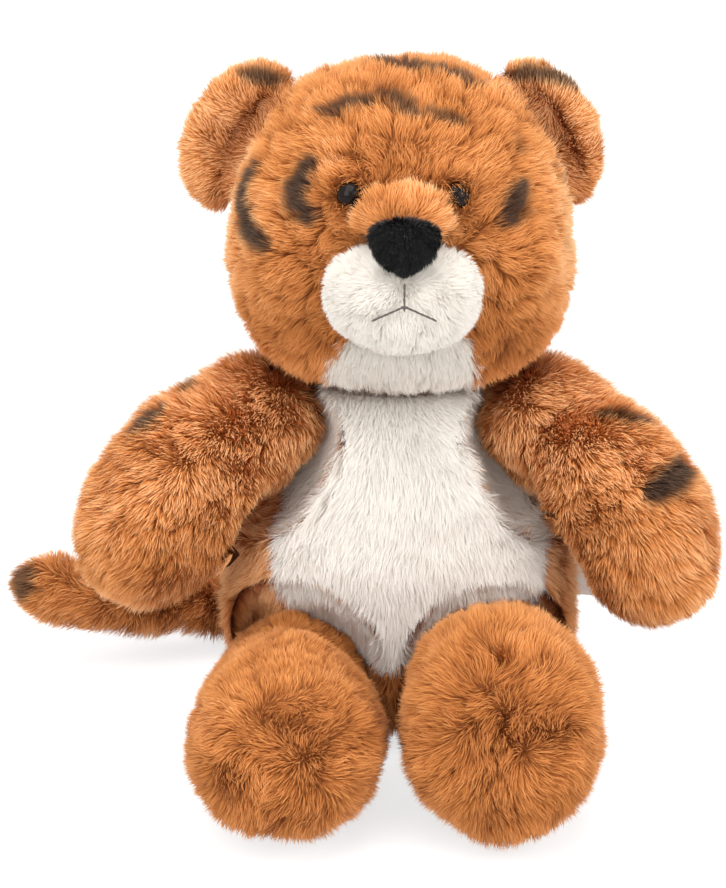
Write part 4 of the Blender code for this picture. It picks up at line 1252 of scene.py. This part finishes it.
def makeStitchTree():
    tree = bpy.data.node_groups.new("stitches", "GeometryNodeTree")
    tree.interface.new_socket("Geometry", in_out="INPUT", socket_type="NodeSocketGeometry")
    for name, (kind, value) in stitchInputs.items():
        socket = tree.interface.new_socket(name, in_out="INPUT", socket_type=kind)
        if value is not None:
            socket.default_value = value
    tree.interface.new_socket("Geometry", in_out="OUTPUT", socket_type="NodeSocketGeometry")
    g = Graph(tree)
    given = g.add("NodeGroupInput")
    line = g.add("GeometryNodeMeshToCurve", {}, {"Mesh": given["Geometry"]})["Curve"]
    points = g.add("GeometryNodeCurveToPoints", {"mode": "LENGTH"}, {"Curve": line, "Length": given["Stitch"] * 0.7})
    size = {"Vertices": 8, "Side Segments": 6, "Radius": 1.0, "Depth": 1.0}
    rod = g.add("GeometryNodeMeshCylinder", {"fill_type": "TRIANGLE_FAN"}, size)["Mesh"]
    place = g.add("GeometryNodeInputPosition")[0]
    end = (place.part(2) * 2.0).mixed("ABSOLUTE", 0.0)
    waist = (1 - (end**4.0) * 0.75) * given["Radius"]
    shapeOf = {0: place.part(0) * waist, 1: place.part(1) * waist, 2: place.part(2) * given["Stitch"]}
    shaped = g.add("ShaderNodeCombineXYZ", {}, shapeOf)[0]
    stitch = g.add("GeometryNodeSetPosition", {}, {"Geometry": rod, "Position": shaped})["Geometry"]
    along = g.add("FunctionNodeAlignRotationToVector", {"axis": "Z"}, {"Vector": points["Tangent"]})[0]
    tiltRange = {0: (-0.07, -0.07, -0.07), 1: (0.07, 0.07, 0.07), "Seed": given["Seed"]}
    tilt = g.add("FunctionNodeRandomValue", {"data_type": "FLOAT_VECTOR"}, tiltRange)[0]
    turned = g.add("FunctionNodeRotateRotation", {"rotation_space": "LOCAL"}, {"Rotation": along, "Rotate By": tilt})[0]
    planted = {"Points": points["Points"], "Instance": stitch, "Rotation": turned}
    laid = g.add("GeometryNodeInstanceOnPoints", {}, planted)["Instances"]
    real = g.add("GeometryNodeRealizeInstances", {}, {"Geometry": laid})["Geometry"]
    smooth = g.add("GeometryNodeSetShadeSmooth", {}, {0: real})[0]
    finished = g.setMaterial(smooth, given["Finish"])
    result = g.add("NodeGroupOutput")
    tree.links.new(finished.socket, result.node.inputs[0])
    return tree


def makeMouth(settings):
    lines = bmesh.new()
    for path in mouthPaths:
        corners = [lines.verts.new(point) for point in path]
        for first, second in zip(corners, corners[1:]):
            lines.edges.new((first, second))
    mesh = bpy.data.meshes.new("mouth")
    lines.to_mesh(mesh)
    lines.free()
    mouth = addObject("mouthStitches", mesh)
    tree = makeStitchTree()
    thread = threadMaterial()
    stitches = mouth.modifiers.new("stitches", "NODES")
    stitches.node_group = tree
    values = {"Stitch": settings["stitch"], "Radius": settings["radius"], "Finish": thread}
    for item in tree.interface.items_tree:
        if item.item_type == "SOCKET" and item.in_out == "INPUT" and item.name in values:
            stitches[item.identifier] = values[item.name]
    baked(mouth)
    mouth.data.materials.clear()
    mouth.data.materials.append(thread)
    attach(mouth, "head")
    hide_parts("mouth_stitching")
    return mouth


makeMouth(mouthSettings)
print("mouth stitched")


# Seam tab: a short blank ribbon, folded double, with its ends caught in the side seam

tabSettings = {
    "inner": 66 * mm,  # where its ends lie in the seam
    "outer": 83 * mm,
    "back": 4.4 * mm,
    "low": 48 * mm,
    "tall": 14 * mm,
    "apart": 0.5 * mm,
    "thick": 0.16 * mm,
}


def ribbonMaterial():
    material, graph, shader = newMaterial("white ribbon")
    place = graph.add("ShaderNodeTexCoord")["Object"]
    across = graph.add("ShaderNodeTexWave", {"bands_direction": "Z"}, {"Vector": place, "Scale": 550.0})["Color"]
    upright = graph.add("ShaderNodeTexWave", {"bands_direction": "X"}, {"Vector": place, "Scale": 550.0})["Color"]
    weave = across * 0.6 + upright * 0.4
    stops = ((0.0, (0.70, 0.69, 0.66)), (1.0, (0.86, 0.85, 0.83)))
    ramp = graph.add("ShaderNodeValToRGB", {"stops": stops}, {"Fac": weave.part(0)})[0]
    graph.tree.links.new(ramp.socket, shader.inputs["Base Color"])
    bump = graph.add("ShaderNodeBump", {}, {"Strength": 0.25, "Distance": 0.05 * mm, "Height": weave.part(0)})[0]
    graph.tree.links.new(bump.socket, shader.inputs["Normal"])
    setSockets(shader, {"Roughness": 0.42, "Sheen Weight": 0.2})
    return material


def makeTab(settings):
    half = settings["apart"] / 2
    reach = settings["outer"] - settings["inner"] - half
    arc = [(settings["outer"] - half + half * cos(a), half * sin(a)) for a in np.linspace(-pi / 2, pi / 2, 9)]
    near = [(settings["inner"] + reach * t, -half) for t in np.linspace(0, 1, 10)[:-1]]
    far = [(settings["inner"] + reach * t, half) for t in np.linspace(1, 0, 10)[1:]]
    path = near + arc + far
    rows = 8
    ribbon = bmesh.new()
    grid = []
    for x, y in path:
        share = (x - settings["inner"]) / (settings["outer"] - settings["inner"])
        column = []
        for row in range(rows + 1):
            up = row / rows
            curl = 1.3 * mm * share * share * (up - 0.35) + 0.35 * mm * sin(5 * up + 3 * share)
            height = settings["low"] + settings["tall"] * up - 0.8 * mm * share * share
            column.append(ribbon.verts.new((x, settings["back"] + y + curl, height)))
        grid.append(column)
    for left, right in zip(grid, grid[1:]):
        for row in range(rows):
            ribbon.faces.new((left[row], right[row], right[row + 1], left[row + 1]))
    mesh = bpy.data.meshes.new("tab")
    bmesh.ops.recalc_face_normals(ribbon, faces=ribbon.faces)
    ribbon.to_mesh(mesh)
    ribbon.free()
    tab = addObject("seamTab", mesh)
    wall = tab.modifiers.new("wall", "SOLIDIFY")
    wall.thickness = settings["thick"]
    wall.offset = 0
    baked(tab)
    tab.data.shade_smooth()
    tab.data.materials.append(ribbonMaterial())
    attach(tab, "torso")
    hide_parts("side_seam_tab")
    return tab


makeTab(tabSettings)
print("tab made")


# Inner pieces that nothing shows: the eyes' washers and the pouch of pellets


def plasticMaterial():
    material, graph, shader = newMaterial("eye fitting")
    place = graph.add("ShaderNodeTexCoord")["Object"]
    mottle = graph.add("ShaderNodeTexNoise", {}, {"Vector": place, "Scale": 900.0, "Detail": 3.0})[0]
    stops = ((0.0, (0.60, 0.59, 0.56)), (1.0, (0.72, 0.71, 0.68)))
    ramp = graph.add("ShaderNodeValToRGB", {"stops": stops}, {"Fac": mottle})[0]
    graph.tree.links.new(ramp.socket, shader.inputs["Base Color"])
    rough = mottle * 0.15 + 0.35
    graph.tree.links.new(rough.socket, shader.inputs["Roughness"])
    return material


def pouchMaterial():
    material, graph, shader = newMaterial("pellet cloth")
    place = graph.add("ShaderNodeTexCoord")["Object"]
    pellets = graph.add("ShaderNodeTexVoronoi", {}, {"Vector": place, "Scale": 1 / (3 * mm)})["Distance"]
    threads = graph.add("ShaderNodeTexWave", {"bands_direction": "X"}, {"Vector": place, "Scale": 500.0})["Color"]
    stops = ((0.0, (0.62, 0.60, 0.55)), (1.0, (0.78, 0.76, 0.71)))
    ramp = graph.add("ShaderNodeValToRGB", {"stops": stops}, {"Fac": threads})[0]
    graph.tree.links.new(ramp.socket, shader.inputs["Base Color"])
    height = 1 - pellets
    bump = graph.add("ShaderNodeBump", {}, {"Strength": 0.6, "Distance": 1 * mm, "Height": height})[0]
    graph.tree.links.new(bump.socket, shader.inputs["Normal"])
    setSockets(shader, {"Roughness": 0.85})
    return material


for material, names in (
    (plasticMaterial(), ("left_eye_washer", "right_eye_washer")),
    (pouchMaterial(), ("pellet_pouch",)),
):
    for name in names:
        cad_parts[name].data.materials.clear()
        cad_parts[name].data.materials.append(material)

# Floor, backdrop and light

lightSettings = {
    "sky": 0.66,
    "lamps": (
        # place, size, watts
        ((-0.15, -0.35, 1.4), 1.2, 15),
        ((-0.8, -1.1, 0.9), 0.9, 9),
        ((0.9, -0.9, 0.7), 1.0, 9),
        ((0.2, 0.9, 1.2), 0.9, 6),
    ),
    "aim": (0, -0.02, 0.13),
}


def makeStage():
    flatFloor = bmesh.new()
    bmesh.ops.create_grid(flatFloor, x_segments=1, y_segments=1, size=4)
    mesh = bpy.data.meshes.new("floor")
    flatFloor.to_mesh(mesh)
    flatFloor.free()
    material, graph, shader = newMaterial("floor")
    nodes, links = graph.tree.nodes, graph.tree.links
    nodes.remove(shader)
    target = nodes["Material Output"]
    shaded = graph.add("ShaderNodeBsdfDiffuse", {}, {"Color": (0.8, 0.8, 0.8, 1)})["BSDF"]
    paper = graph.add("ShaderNodeEmission", {}, {"Color": (1, 1, 1, 1), "Strength": 0.72})["Emission"]
    thin = graph.add("ShaderNodeBsdfDiffuse", {}, {"Color": (0.42, 0.42, 0.42, 1)})["BSDF"]
    seen = graph.add("ShaderNodeAddShader")
    links.new(paper.socket, seen.node.inputs[0])
    links.new(thin.socket, seen.node.inputs[1])
    path = graph.add("ShaderNodeLightPath")
    direct = path["Is Camera Ray"].mixed("MAXIMUM", path["Is Glossy Ray"])
    mix = graph.add("ShaderNodeMixShader", {}, {"Fac": direct})
    links.new(shaded.socket, mix.node.inputs[1])
    links.new(seen[0].socket, mix.node.inputs[2])
    links.new(mix[0].socket, target.inputs["Surface"])
    mesh.materials.append(material)
    floor = addObject("floor", mesh)


def makeLight(settings):
    world = bpy.data.worlds.new("studio")
    scene.world = world
    world.use_nodes = True
    graph = Graph(world.node_tree)
    back = world.node_tree.nodes["Background"]
    path = graph.add("ShaderNodeLightPath")
    direct = path["Is Camera Ray"].mixed("MAXIMUM", path["Is Glossy Ray"])
    strength = direct * (1 - settings["sky"]) + settings["sky"]
    graph.tree.links.new(strength.socket, back.inputs["Strength"])
    back.inputs["Color"].default_value = (1, 1, 1, 1)
    for index, (place, size, watts) in enumerate(settings["lamps"]):
        data = bpy.data.lights.new(f"lamp{index}", "AREA")
        data.size = size
        data.energy = watts
        lamp = addObject(f"lamp{index}", data)
        lamp.location = place
        lamp.rotation_euler = (Vector(settings["aim"]) - Vector(place)).to_track_quat("-Z", "Y").to_euler()


makeStage()
makeLight(lightSettings)
scene.view_settings.view_transform = "Standard"
print("stage and light made")
